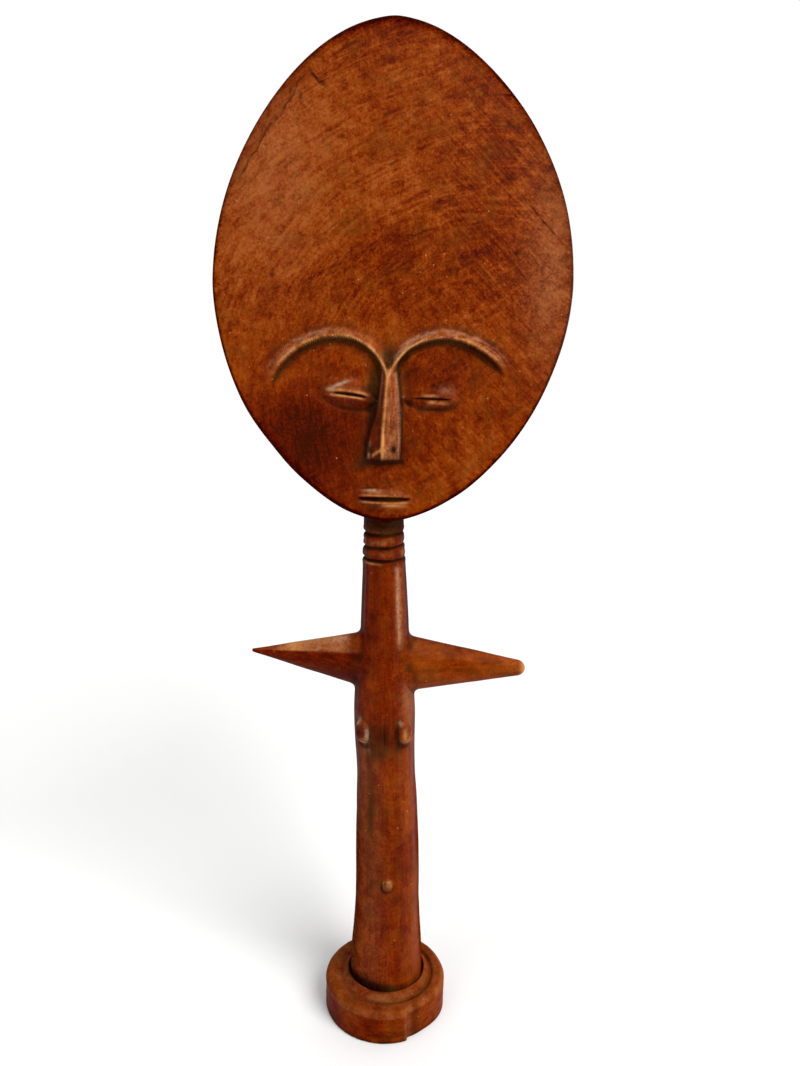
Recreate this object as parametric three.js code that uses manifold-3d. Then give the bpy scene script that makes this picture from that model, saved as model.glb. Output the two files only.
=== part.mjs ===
// Fertility doll: a carved wooden figure with a flat egg-shaped head, a ringed neck, a round
// body with two short cone arms, and a round base that it stands on.
// Millimetres, +Z up. The doll faces -Y, and +X is on the right of someone looking at its face.
// The origin is the centre of the base's underside.

import * as THREE from "three";
import { mergeVertices } from "three/addons/utils/BufferGeometryUtils.js";
import Module from "manifold-3d";

const wasm = await Module();
wasm.setup();

// ---- Driving dimensions ----

const FIT_GAP = 0.3; // between two pieces that touch
const ROUND_SIDES = 40;

// The base is a thick disc. Its side steps in by one knife cut on the front right.
const BASE_RADIUS = 21.5;
const BASE_HEIGHT = 12.5;
const BASE_STEP = 1;
const STEP_FROM_ANGLE = THREE.MathUtils.degToRad(-67);
const STEP_TO_ANGLE = THREE.MathUtils.degToRad(-28);
const COLLAR_RADIUS = 15.8; // the sloping ring that stands round the body's foot
const COLLAR_HEIGHT = 2.7;

// The body and neck are one turned shape: [height, radius] from the foot to the top ring.
const FOOT_Z = BASE_HEIGHT + FIT_GAP;
const NECK_TOP = 175.3;
const BODY_PROFILE = [
  [FOOT_Z, 12.9],
  [19, 12.6],
  [28, 12.1],
  [44, 11.2],
  [70, 10.75],
  [94, 9.95],
  [112, 10.35],
  [124, 9.9],
  [141, 8.15],
  [156, 7.35],
];
const BODY_STEPS = 22;
const NECK_TOP_RADIUS = 6.4;

// The trunk isn't quite straight: above its waist it drifts to -X.
const FOOT_SHIFT = 0.45;
const LEAN = 2.4;
const LEAN_FROM_Z = 60;
const LEAN_TO_Z = 178;

// Three V grooves ring the neck. The head joins the neck in the top one.
const GROOVE_DEPTH = 0.7;
const GROOVE_HALF_WIDTH = 0.9;
const GROOVE_HEIGHTS = [167.3, 171.4];

// Round tenons, each whittled on the end of its own piece.
const FOOT_TENON = { radius: 5, length: 8 };
const NECK_TENON = { radius: 3.4, length: 9 };
const ARM_TENON = { radius: 3, end: 4.4 }; // end is measured from the body's axis

// The arms are flattened cones: root and tip radii are upright ones, at these places.
const ARM_FLATNESS = 0.58;
const LEFT_ARM = {
  side: -1,
  root: { x: -11.3, z: 132, radius: 8.9 },
  tip: { x: -45.2, z: 134.4, radius: 0.5 },
};
const RIGHT_ARM = {
  side: 1,
  root: { x: 8.5, z: 130.6, radius: 9.3 },
  tip: { x: 45.3, z: 129.4, radius: 2.4 },
};
const ARM_INNER_END = 5; // from the body's axis, inside the body
const ARM_SIDES = 28;

// Breasts and navel: low knobs on the body's front, at x, z with half sizes.
const BODY_KNOBS = [
  { x: -8.1, z: 110.2, size: [2.7, 2.6, 4.2], sunk: 1 },
  { x: 4.7, z: 110.4, size: [2.7, 2.4, 4.2], sunk: 1 },
  { x: 0.6, z: 54.5, size: [1.9, 2, 2.2], sunk: 0.5 },
];

// The head is a plate with an egg outline, leaning back. Its own frame has x to the right,
// z up the face and y into the plate, from the foot of the chin on the face's front plane.
const HEAD_PLACE = new THREE.Vector3(0, -13, 180);
const HEAD_TILT = THREE.MathUtils.degToRad(8);
const EGG_HALF_WIDTH = 54.4;
const EGG_WIDEST_Z = 72.5;
const EGG_UP = { length: 77.1, power: 1.86 };
const EGG_DOWN = { length: 71.5, power: 1.73 };
// The hand-cut edge strays to the right of the egg by this much at each height, on each side.
const LEFT_STRAY = [[0, -0.9], [16, -0.4], [38, -1], [60, -0.2], [100, 0.2], [132, 1], [150, 0.8]];
const RIGHT_STRAY = [[0, -0.9], [25, 0.2], [70, 0], [98, 0.6], [118, 0], [140, -1.3], [150, -1.2]];
const EGG_SIDES = 64;
// Section of the plate from the middle of the face to the middle of the back:
// [fraction of the outline's radius, depth].
const PLATE_SECTION = [
  [0, 0],
  [0.45, 0.1],
  [0.84, 0.5],
  [0.95, 1.3],
  [0.99, 2.8],
  [1, 4],
  [0.98, 5.6],
  [0.9, 7.4],
  [0.7, 10],
  [0.4, 12.3],
  [0, 13],
];

// The neck runs on up the back of the head and dies away: [height, radius].
const NAPE_PROFILE = [
  [NECK_TOP + FIT_GAP, NECK_TOP_RADIUS - GROOVE_DEPTH],
  [NECK_TOP + FIT_GAP + GROOVE_HALF_WIDTH, NECK_TOP_RADIUS],
  [183, 6.6],
  [200, 6.6],
  [216, 5.2],
  [230, 2.6],
];
const THROAT = { x: -1.7, y: -6.6, z: 183.4, size: [6.5, 6, 7] }; // fills in under the chin

// Face, in the head's frame. Brows are half round beads along arcs, [x, z].
const BROW_RADIUS = 1.5;
const BROW_STEPS = 14;
const LEFT_BROW = [
  [-1.2, 45],
  [-4.7, 51],
  [-14.7, 56.3],
  [-26, 54],
  [-35.5, 45.5],
];
const RIGHT_BROW = [
  [-0.7, 45],
  [4.6, 52],
  [15, 56.3],
  [26, 53.3],
  [34.3, 46],
];
const NOSE_FRONT = [
  [-3.4, 46],
  [-4.5, 35],
  [-7.5, 21.5],
  [-2, 20],
  [3.2, 21],
  [2.6, 35],
  [2.2, 46],
];
const NOSE_ROOT_HEIGHT = 1.6;
const NOSE_TIP_HEIGHT = 5.6;
const NOSE_SLOPE = [46, 22]; // z of the root and of the tip
const EYES = [
  { x: -12.5, z: 39, size: [7.6, 2.6, 3.9] },
  { x: 12.2, z: 38.2, size: [7.8, 2.4, 3] },
];
const LIPS = { x: -1.8, z: 8.2, size: [8.6, 2, 2.9] };
const SLIT_HEIGHT = 0.6;
const EYE_HOLLOW = { x: 17, z: 38, size: [25, 6, 22], out: 4.6 };

const WOOD = { color: 0x8a4420, roughness: 0.48, metalness: 0 };

// ---- Helpers ----

// A closed geometry as a solid for cutting and joining.
function solid(geometry) {
  const shell = geometry.index ? geometry.clone() : mergeVertices(geometry);
  shell.deleteAttribute("normal");
  shell.deleteAttribute("uv");
  const merged = mergeVertices(shell, 1e-4);
  const corners = merged.index.array;
  const triVerts = [];
  for (let i = 0; i < corners.length; i += 3) {
    const [a, b, c] = corners.slice(i, i + 3);
    const flat = a === b || b === c || c === a;
    if (!flat) triVerts.push(a, b, c);
  }
  return new wasm.Manifold(
    new wasm.Mesh({
      numProp: 3,
      vertProperties: new Float32Array(merged.attributes.position.array),
      triVerts: new Uint32Array(triVerts),
    }),
  );
}

function woodPiece(name, body) {
  const cut = body.getMesh();
  const geometry = new THREE.BufferGeometry();
  geometry.setAttribute("position", new THREE.BufferAttribute(cut.vertProperties, 3));
  geometry.setIndex(new THREE.BufferAttribute(cut.triVerts, 1));
  geometry.computeVertexNormals();
  const piece = new THREE.Mesh(geometry, new THREE.MeshStandardMaterial(WOOD));
  piece.name = name;
  return piece;
}

// The trunk's centre line: its x at a height.
function trunkX(z) {
  const along = THREE.MathUtils.clamp((z - LEAN_FROM_Z) / (LEAN_TO_Z - LEAN_FROM_Z), 0, 1);
  return FOOT_SHIFT - LEAN * Math.sin((along * Math.PI) / 2);
}

// Turns [height, radius] points about the Z axis.
function turned(points, sides = ROUND_SIDES) {
  const profile = points.map(([z, radius]) => new THREE.Vector2(radius, z));
  return new THREE.LatheGeometry(profile, sides).rotateX(Math.PI / 2);
}

function leaned(geometry) {
  const place = geometry.attributes.position;
  for (let i = 0; i < place.count; i += 1) {
    place.setX(i, place.getX(i) + trunkX(place.getZ(i)));
  }
  return geometry;
}

// A rod along Z between two heights, with its axis through x.
function uprightRod(radius, fromZ, toZ, x) {
  const rod = new THREE.CylinderGeometry(radius, radius, toZ - fromZ, 24);
  return rod.rotateX(Math.PI / 2).translate(x, 0, (fromZ + toZ) / 2);
}

function knob([width, depth, height], x, y, z) {
  return new THREE.SphereGeometry(1, 20, 12).scale(width, depth, height).translate(x, y, z);
}

// ---- Body ----

// The trunk's outside, grown by a gap where a neighbour has to stay clear of it.
function trunk(gap = 0) {
  const outline = new THREE.SplineCurve(BODY_PROFILE.map(([z, radius]) => new THREE.Vector2(radius, z)));
  const body = outline.getPoints(BODY_STEPS).map((point) => [point.y, point.x]);
  const wall = [...body, ...neckWall()].map(([z, radius]) => [z, radius + gap]);
  return leaned(turned([[FOOT_Z, 0], ...wall, [NECK_TOP, 0]]));
}

// The ringed neck above the body, up to the half groove at its top.
function neckWall() {
  const wall = [];
  for (const z of GROOVE_HEIGHTS) {
    wall.push([z - GROOVE_HALF_WIDTH, trunkRadius(z - GROOVE_HALF_WIDTH)]);
    wall.push([z, trunkRadius(z) - GROOVE_DEPTH]);
    wall.push([z + GROOVE_HALF_WIDTH, trunkRadius(z + GROOVE_HALF_WIDTH)]);
  }
  wall.push([NECK_TOP - GROOVE_HALF_WIDTH, NECK_TOP_RADIUS]);
  wall.push([NECK_TOP, NECK_TOP_RADIUS - GROOVE_DEPTH]);
  return wall;
}

function trunkRadius(z) {
  const profile = [...BODY_PROFILE, [NECK_TOP, NECK_TOP_RADIUS]];
  const above = profile.findIndex(([height]) => height >= z);
  const [lowZ, lowRadius] = profile[above - 1];
  const [highZ, highRadius] = profile[above];
  return THREE.MathUtils.mapLinear(z, lowZ, highZ, lowRadius, highRadius);
}

function bodyKnob({ x, z, size, sunk }) {
  const across = x - trunkX(z);
  const radius = trunkRadius(z) - sunk;
  return knob(size, x, -Math.sqrt(radius ** 2 - across ** 2), z);
}

// A rod along an arm's axis, from outside the body to its blind end.
function armTenon(arm, radius, extra = 0) {
  const { root, tip, side } = arm;
  const slope = Math.atan2(tip.z - root.z, Math.abs(tip.x - root.x));
  const innerX = trunkX(root.z) + side * (ARM_TENON.end - extra);
  const outerX = root.x + side * 2;
  const rod = new THREE.CylinderGeometry(radius, radius, Math.abs(outerX - innerX), 20);
  rod.rotateZ(Math.PI / 2).rotateY(-side * slope);
  const middleX = (innerX + outerX) / 2;
  const middleZ = root.z + Math.abs(root.x - middleX) * -Math.tan(slope);
  return rod.translate(middleX, 0, middleZ);
}

function column() {
  const foot = FOOT_TENON;
  const neck = NECK_TENON;
  let body = solid(trunk());
  body = body.add(solid(uprightRod(foot.radius, FOOT_Z - foot.length, FOOT_Z + 1, trunkX(FOOT_Z))));
  body = body.add(solid(uprightRod(neck.radius, NECK_TOP - 1, NECK_TOP + neck.length, trunkX(NECK_TOP))));
  for (const mark of BODY_KNOBS) body = body.add(solid(bodyKnob(mark)));
  for (const arm of [LEFT_ARM, RIGHT_ARM]) {
    body = body.subtract(solid(armTenon(arm, ARM_TENON.radius + FIT_GAP, FIT_GAP)));
  }
  return woodPiece("column", body);
}

// ---- Arms ----

function armCone({ side, root, tip }) {
  const slope = (tip.z - root.z) / (tip.x - root.x);
  const taper = (root.radius - tip.radius) / Math.abs(tip.x - root.x);
  const innerX = trunkX(root.z) + side * ARM_INNER_END;
  const innerRadius = root.radius + Math.abs(root.x - innerX) * taper;
  const length = Math.abs(tip.x - innerX);
  const roundness = tip.radius;
  const profile = [
    [0, 0],
    [0, innerRadius],
    [length - roundness, tip.radius],
    [length - roundness * 0.35, tip.radius * 0.72],
    [length, 0],
  ];
  const cone = turned(profile, ARM_SIDES).rotateY((side * Math.PI) / 2).scale(1, ARM_FLATNESS, 1);
  const place = cone.translate(innerX, 0, root.z).attributes.position;
  for (let i = 0; i < place.count; i += 1) {
    place.setZ(i, place.getZ(i) + (place.getX(i) - root.x) * slope);
  }
  return cone;
}

function armPiece(name, arm) {
  const cone = solid(armCone(arm)).subtract(solid(trunk(FIT_GAP)));
  const tenon = solid(armTenon(arm, ARM_TENON.radius));
  return woodPiece(name, cone.add(tenon));
}

// ---- Base ----

function baseDisc() {
  const outline = new THREE.Shape();
  const inner = BASE_RADIUS - BASE_STEP;
  outline.absarc(0, 0, BASE_RADIUS, STEP_TO_ANGLE, STEP_FROM_ANGLE + 2 * Math.PI);
  outline.lineTo(inner * Math.cos(STEP_FROM_ANGLE), inner * Math.sin(STEP_FROM_ANGLE));
  outline.closePath();
  const bevel = { bevelEnabled: true, bevelThickness: 0.8, bevelSize: 0.8, bevelOffset: -0.8, bevelSegments: 2 };
  const depth = BASE_HEIGHT - 2 * bevel.bevelThickness;
  const disc = new THREE.ExtrudeGeometry(outline, { depth, curveSegments: ROUND_SIDES, ...bevel });
  return disc.translate(0, 0, bevel.bevelThickness);
}

// The ring round the foot: it slopes up from the base's top to the body.
function collar() {
  const inner = BODY_PROFILE[0][1] + FIT_GAP;
  const top = BASE_HEIGHT + COLLAR_HEIGHT;
  const ring = [
    [BASE_HEIGHT - 1, inner],
    [BASE_HEIGHT - 1, COLLAR_RADIUS],
    [BASE_HEIGHT + 0.3, COLLAR_RADIUS - 0.2],
    [top - 1, COLLAR_RADIUS - 1.1],
    [top, inner + 0.8],
    [top - 0.2, inner],
    [BASE_HEIGHT - 1, inner],
  ];
  return turned(ring).translate(trunkX(FOOT_Z), 0, 0);
}

function base() {
  const mortiseFloor = FOOT_Z - FOOT_TENON.length - FIT_GAP;
  const mortise = uprightRod(FOOT_TENON.radius + FIT_GAP, mortiseFloor, BASE_HEIGHT + 1, trunkX(FOOT_Z));
  const body = solid(baseDisc()).add(solid(collar())).subtract(solid(mortise));
  return woodPiece("base", body);
}

// ---- Head ----

// Distance from the egg's middle to its edge in the direction (x, z).
function eggRadius(x, z) {
  const { length, power } = z > 0 ? EGG_UP : EGG_DOWN;
  const across = Math.abs(x / EGG_HALF_WIDTH) ** power;
  const along = Math.abs(z / length) ** power;
  return (across + along) ** (-1 / power);
}

// The value at z between the stops [z, value].
function between(stops, z) {
  const next = Math.max(1, stops.findIndex(([height]) => height >= z));
  const [low, before] = stops[next - 1];
  const [high, after] = stops[next];
  return THREE.MathUtils.mapLinear(THREE.MathUtils.clamp(z, low, high), low, high, before, after);
}

// How far the edge strays at the point (x, z) of the rim. The two sides meet evenly at the ends.
function edgeStray(x, z) {
  const side = THREE.MathUtils.smoothstep(x, -6, 6);
  const height = THREE.MathUtils.clamp(z + EGG_WIDEST_Z, 0, 150);
  return (1 - side) * between(LEFT_STRAY, height) + side * between(RIGHT_STRAY, height);
}

function plate() {
  const profile = PLATE_SECTION.map(([fraction, depth]) => new THREE.Vector2(fraction, depth));
  const disc = new THREE.LatheGeometry(profile, EGG_SIDES);
  const place = disc.attributes.position;
  for (let i = 0; i < place.count; i += 1) {
    const x = place.getX(i);
    const z = place.getZ(i);
    const fraction = Math.hypot(x, z);
    if (fraction > 1e-6) {
      const reach = eggRadius(x / fraction, z / fraction);
      place.setX(i, x * reach + fraction * edgeStray(x * reach, z * reach));
      place.setZ(i, z * reach);
    }
  }
  return disc.translate(0, 0, EGG_WIDEST_Z);
}

function brow(points) {
  const path = new THREE.CatmullRomCurve3(points.map(([x, z]) => new THREE.Vector3(x, 0.1, z)));
  const section = new THREE.Shape().absarc(0, 0, BROW_RADIUS, 0, 2 * Math.PI);
  const options = { extrudePath: path, steps: BROW_STEPS, curveSegments: 6, bevelEnabled: false };
  return new THREE.ExtrudeGeometry(section, options);
}

// The nose is its outline from the front, met by its slope from the side, with a roof ridge.
function nose() {
  const front = new THREE.Shape(NOSE_FRONT.map(([x, z]) => new THREE.Vector2(x, z)));
  const block = new THREE.ExtrudeGeometry(front, { depth: 12, bevelEnabled: false });
  block.rotateX(Math.PI / 2).translate(0, 2, 0);
  const [rootZ, tipZ] = NOSE_SLOPE;
  const roof = new THREE.Shape([
    new THREE.Vector2(-9, 2),
    new THREE.Vector2(9, 2),
    new THREE.Vector2(0, -1),
  ]);
  const ridge = new THREE.ExtrudeGeometry(roof, { depth: rootZ - tipZ + 6, bevelEnabled: false });
  const place = ridge.translate(-2, 0, tipZ - 3).attributes.position;
  for (let i = 0; i < place.count; i += 1) {
    if (place.getY(i) < 0) {
      const along = (place.getZ(i) - tipZ) / (rootZ - tipZ);
      place.setY(i, -THREE.MathUtils.lerp(NOSE_TIP_HEIGHT, NOSE_ROOT_HEIGHT, along));
      place.setX(i, place.getX(i) + along);
    }
  }
  return solid(block).intersect(solid(ridge));
}

// A raised almond with a slit across it: a closed eye, or the two lips.
function slitMound({ x, z, size }) {
  const mound = solid(knob(size, x, 0.6, z));
  const [width, depth] = size;
  const slit = new THREE.BoxGeometry(width * 1.8, 2 * depth, SLIT_HEIGHT).translate(x, -depth, z - 0.2);
  return mound.subtract(solid(slit));
}

// The top of the neck, with the swelling that joins its front to the chin.
function nape() {
  const [bottomZ] = NAPE_PROFILE[0];
  const [topZ] = NAPE_PROFILE.at(-1);
  const neck = leaned(turned([[bottomZ, 0], ...NAPE_PROFILE, [topZ, 0]]));
  const { x, y, z, size } = THROAT;
  return solid(neck).add(solid(knob(size, x, y, z)));
}

function head() {
  const place = new THREE.Matrix4().makeRotationX(-HEAD_TILT).setPosition(HEAD_PLACE);
  const { x, z, size, out } = EYE_HOLLOW;
  let face = solid(plate());
  for (const side of [-1, 1]) face = face.subtract(solid(knob(size, side * x, -out, z)));
  for (const points of [LEFT_BROW, RIGHT_BROW]) face = face.add(solid(brow(points)));
  for (const mound of [...EYES, LIPS]) face = face.add(slitMound(mound));
  face = face.add(nose()).transform(place.elements);

  const tenon = NECK_TENON;
  const socketTop = NECK_TOP + tenon.length + FIT_GAP;
  const socket = uprightRod(tenon.radius + FIT_GAP, NECK_TOP - 1, socketTop, trunkX(NECK_TOP));
  return woodPiece("head", face.add(nape()).subtract(solid(socket)));
}

// ---- Doll ----

const doll = new THREE.Group();
doll.add(base());
doll.add(column());
doll.add(armPiece("arm_left", LEFT_ARM));
doll.add(armPiece("arm_right", RIGHT_ARM));
doll.add(head());

export default doll;
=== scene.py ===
"""Fertility doll: a carved and stained wooden figure with a flat egg-shaped head, on a round base.

Shapes are worked out in millimetres, in the CAD model's frame, and become metres when a mesh is
made. The doll faces -Y. Each wooden piece is a fine mesh that stands for one CAD node.
"""

import math
from collections import namedtuple
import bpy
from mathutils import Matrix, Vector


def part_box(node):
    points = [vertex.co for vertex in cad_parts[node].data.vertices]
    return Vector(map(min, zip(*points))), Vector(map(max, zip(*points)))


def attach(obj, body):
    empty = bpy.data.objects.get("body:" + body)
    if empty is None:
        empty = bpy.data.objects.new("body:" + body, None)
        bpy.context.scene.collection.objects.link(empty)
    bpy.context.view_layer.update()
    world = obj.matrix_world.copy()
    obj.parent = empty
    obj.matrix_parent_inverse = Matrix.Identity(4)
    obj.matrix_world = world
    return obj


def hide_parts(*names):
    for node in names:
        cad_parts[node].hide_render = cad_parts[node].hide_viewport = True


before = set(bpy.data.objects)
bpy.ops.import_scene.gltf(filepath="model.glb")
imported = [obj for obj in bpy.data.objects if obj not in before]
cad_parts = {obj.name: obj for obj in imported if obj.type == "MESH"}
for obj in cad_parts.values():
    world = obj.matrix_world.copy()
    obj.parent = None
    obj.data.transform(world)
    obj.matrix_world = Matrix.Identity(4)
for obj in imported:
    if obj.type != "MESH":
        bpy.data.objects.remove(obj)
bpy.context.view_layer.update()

from types import SimpleNamespace

import bpy
import numpy as np
from mathutils import Matrix, Vector

MM = 0.001


def box_mm(node):
    low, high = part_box(node)
    return np.array(low) / MM, np.array(high) / MM


_, HEAD_HIGH = box_mm("head")
COLUMN_LOW, COLUMN_HIGH = box_mm("column")
_, BASE_HIGH = box_mm("base")
LEFT_LOW, _ = box_mm("arm_left")
_, RIGHT_HIGH = box_mm("arm_right")

# ---- The head's own frame: u to the right, v up the face, w out of the face ----

HEAD_TILT = math.radians(8)
HEAD_PLACE = np.array([0.0, -13.0, 180.0])
UP_FACE = np.array([0.0, math.sin(HEAD_TILT), math.cos(HEAD_TILT)])
OUT_OF_FACE = np.array([0.0, -math.cos(HEAD_TILT), math.sin(HEAD_TILT)])

# Egg outline of the head
EGG_HALF_WIDTH = HEAD_HIGH[0] - 0.25
EGG_WIDEST = 72.5
EGG_UP, EGG_UP_POWER = 76.95, 1.86
EGG_DOWN, EGG_DOWN_POWER = 71.5, 1.73
# How far the hand-cut edge strays to the right of the egg: heights v, then shifts, on each side
EDGE_STRAY = {
    -1: ([0, 16, 38, 60, 100, 132, 150], [-0.9, -0.4, -1.0, -0.2, 0.2, 1.0, 0.8]),
    1: ([0, 25, 70, 98, 118, 140, 150], [-0.9, 0.2, 0.0, 0.6, 0.0, -1.3, -1.2]),
}
RIM_ROLL = 1.0  # radius of the rounding at the front of the rim
RIM_BACK = 5.0  # depth at which the back of the head begins
BACK_DEPTH = 13.0
CROWN = 2.2  # how far the face bulges from its rim to its middle

# The head's mesh is spun about the middle of the face, so it is finest there.
FACE_CENTRE = np.array([0.0, 33.0])
HEAD_SPOKES = 560
FRONT_RINGS = 128
ROLL_RINGS = 7
BACK_RINGS = 26

# ---- The trunk and neck: height, radius and the x of the centre line ----

NECK_JOINT = 175.45
TRUNK_Z = [12.8, 19, 25, 33, 41, 54, 70, 82, 94, 103, 113, 124, 134, 141, 147, 154, 160, 167,
           NECK_JOINT, 183, 200]
TRUNK_RADIUS = [12.9, 12.75, 12.4, 11.8, 11.35, 11.05, 10.8, 10.35, 9.92, 10.15, 10.3, 9.75, 8.65, 8.15,
                7.85, 7.5, 7.2, 6.9, 6.45, 6.55, 6.6]
CENTRE_Z = [12, 60, 75, 90, 104, 116, 147, 160, 172, 180, 236]
CENTRE_X = [0.45, 0.4, 0.05, -0.35, -0.95, -1.2, -1.35, -1.55, -1.9, -2.0, -1.0]
TRUNK_SIDES = 240

# ---- Small maths ----


def smooth(low, high, x):
    """0 up to low, 1 from high, and an even S between them. low may be above high."""
    t = np.clip((x - low) / (high - low), 0, 1)
    return t * t * (3 - 2 * t)


def bell(x, width):
    return np.exp(-((x / width) ** 2))


def round_off(x):
    """A half circle's height over x, from 0 at -1 up to 1 at 0 and down to 0 at 1."""
    return np.sqrt(np.clip(1 - x * x, 0, 1))


def soft_max(a, b, k):
    """The larger of two heights, rounded where they cross."""
    h = np.clip(0.5 + 0.5 * (a - b) / k, 0, 1)
    return b + (a - b) * h + k * h * (1 - h)


def soft_min(a, b, k):
    return -soft_max(-a, -b, k)


def curve_through(xs, ys, x):
    """A smooth curve through a few points (Hermite, with averaged slopes), level outside them."""
    xs, ys = np.asarray(xs, float), np.asarray(ys, float)
    x = np.clip(x, xs[0], xs[-1])
    slope = np.gradient(ys, xs)
    i = np.clip(np.searchsorted(xs, x) - 1, 0, len(xs) - 2)
    step = xs[i + 1] - xs[i]
    t = (x - xs[i]) / step
    a = (1 + 2 * t) * (1 - t) ** 2 * ys[i] + t * (1 - t) ** 2 * step * slope[i]
    b = t * t * (3 - 2 * t) * ys[i + 1] + t * t * (t - 1) * step * slope[i + 1]
    return a + b


def scatter(cell, seed):
    """A fixed random number from -1 to 1 for each lattice cell, an array of whole numbers (..., n)."""
    mixed = np.full(cell.shape[:-1], (seed + 1) * 2654435761 & 0xFFFFFFFF, np.uint64)
    for axis, prime in zip(range(cell.shape[-1]), (73856093, 19349663, 83492791)):
        mixed = mixed ^ (cell[..., axis].astype(np.int64) * prime & 0xFFFFFFFF).astype(np.uint64)
        mixed = (mixed ^ (mixed >> np.uint64(15))) * np.uint64(2246822519) & np.uint64(0xFFFFFFFF)
    return (mixed >> np.uint64(8)).astype(float) / 2**23 - 1


def noise(points, size, seed):
    """Smooth noise from -1 to 1 with lumps about size across. points is (n, 2) or (n, 3)."""
    scaled = points / size
    cell = np.floor(scaled).astype(np.int64)
    part = scaled - cell
    part = part * part * (3 - 2 * part)
    total = 0
    for corner in np.ndindex(*(2,) * points.shape[-1]):
        weight = np.prod(np.where(corner, part, 1 - part), axis=-1)
        total = total + weight * scatter(cell + corner, seed)
    return total


def gouges(a, b, size, seed):
    """Shallow scoops side by side, as a gouge leaves: 0 in a scoop's middle, about 0.5 at its edge."""
    place = np.stack([a, b], -1) / size
    cell = np.floor(place).astype(np.int64)
    nearest = np.full(len(a), 9.0)
    for step in np.ndindex(3, 3):
        near = cell + step - 1
        jitter = np.stack([scatter(near, seed), scatter(near, seed + 1)], -1)
        apart = place - near - 0.5 - 0.35 * jitter
        nearest = np.minimum(nearest, (apart**2).sum(-1))
    return nearest


def bumps(place, *layers):
    """Noises laid over each other, each as (height, lump size, seed, squeeze along the axes)."""
    return sum(height * noise(place * squeeze, size, seed) for height, size, seed, squeeze in layers)


def full_turn(sides, start=0.0):
    return start + np.linspace(0, 2 * math.pi, sides, endpoint=False)


def quarter_turn(steps):
    """Angles up to a right angle, in even steps, for rounding an edge."""
    return np.linspace(0, math.pi / 2, steps + 1)[1:]


# ---- Meshes ----


def ring_skin(rings, start, end):
    """A closed mesh over rings of points, (rings, sides, 3), with one point closing each end."""
    count, sides, _ = rings.shape
    points = np.concatenate([rings.reshape(-1, 3), [start, end]])
    row = np.arange(count - 1)[:, None] * sides
    here = np.arange(sides)[None, :]
    there = (here + 1) % sides
    quads = np.stack([row + here, row + there, row + sides + there, row + sides + here], -1).reshape(-1, 4)
    first, last = here[0], there[0]
    bottom = np.stack([np.full(sides, count * sides), last, first], -1)
    top = np.stack([np.full(sides, count * sides + 1), first, last], -1)
    top[:, 1:] += (count - 1) * sides
    return points, quads, np.concatenate([bottom, top])


def placed(name, data):
    """A new object in the scene."""
    thing = bpy.data.objects.new(name, data)
    bpy.context.scene.collection.objects.link(thing)
    return thing


def solid_object(name, points, quads, tris):
    """A mesh object from points in millimetres. Its faces are turned outwards."""
    corners = points[np.concatenate([quads[:, :3], quads[:, [0, 2, 3]], tris])]
    volume = np.einsum("ij,ij->i", corners[:, 0], np.cross(corners[:, 1], corners[:, 2])).sum()
    if volume < 0:
        quads, tris = quads[:, ::-1], tris[:, ::-1]
    mesh = bpy.data.meshes.new(name)
    mesh.vertices.add(len(points))
    mesh.vertices.foreach_set("co", (points * MM).astype(np.float32).ravel())
    mesh.loops.add(quads.size + tris.size)
    mesh.loops.foreach_set("vertex_index", np.concatenate([quads.ravel(), tris.ravel()]).astype(np.int32))
    sizes = np.concatenate([np.full(len(quads), 4), np.full(len(tris), 3)])
    mesh.polygons.add(len(sizes))
    mesh.polygons.foreach_set("loop_start", np.concatenate([[0], np.cumsum(sizes)[:-1]]).astype(np.int32))
    mesh.update(calc_edges=True)
    mesh.validate()
    return placed(name, mesh)


def combine(piece, tool, operation, keep_tool=False):
    """Joins tool to piece (UNION) or cuts it away (DIFFERENCE)."""
    modifier = piece.modifiers.new("combine", "BOOLEAN")
    modifier.object = tool
    modifier.operation = operation
    modifier.solver = "MANIFOLD"
    depsgraph = bpy.context.evaluated_depsgraph_get()
    result = bpy.data.meshes.new_from_object(piece.evaluated_get(depsgraph))
    piece.modifiers.clear()
    piece.data = result
    if not keep_tool:
        bpy.data.objects.remove(tool)


def read_vectors(piece, key):
    flat = np.empty(len(piece.data.vertices) * 3, np.float32)
    piece.data.vertices.foreach_get(key, flat)
    return flat.reshape(-1, 3).astype(float)


def points_of(piece):
    return read_vectors(piece, "co") / MM


def neighbour_mean(piece, points):
    """For each point, the mean of the points that an edge joins it to."""
    ends = np.empty(len(piece.data.edges) * 2, np.int32)
    piece.data.edges.foreach_get("vertices", ends)
    a, b = ends.reshape(-1, 2).T
    here, there = np.append(a, b), np.append(b, a)
    total = [np.bincount(here, points[there, axis], len(points)) for axis in range(3)]
    return np.stack(total, -1) / np.bincount(here, minlength=len(points))[:, None]


RELAX_STEP = 0.6  # share of the way to its neighbours' mean that a point moves in a round


def soften(piece, weight, rounds):
    """Relaxes the mesh where weight (one number a point, 0 to 1) says, to round off a crease."""
    points = points_of(piece)
    for _ in range(rounds):
        points += (neighbour_mean(piece, points) - points) * weight[:, None] * RELAX_STEP
    piece.data.vertices.foreach_set("co", (points * MM).astype(np.float32).ravel())
    piece.data.update()


def rod(name, radius, start, end):
    """A plain round tenon or socket cutter between two points."""
    start, end = np.array(start, float), np.array(end, float)
    along = (end - start) / np.linalg.norm(end - start)
    across = np.cross(along, [0.3, 1.0, 0.2])
    across /= np.linalg.norm(across)
    beside = np.cross(along, across)
    turn = full_turn(32)[:, None]
    circle = radius * (np.cos(turn) * across + np.sin(turn) * beside)
    return solid_object(name, *ring_skin(np.stack([start + circle, end + circle]), start, end))


# ---- Trunk and neck ----

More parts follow.
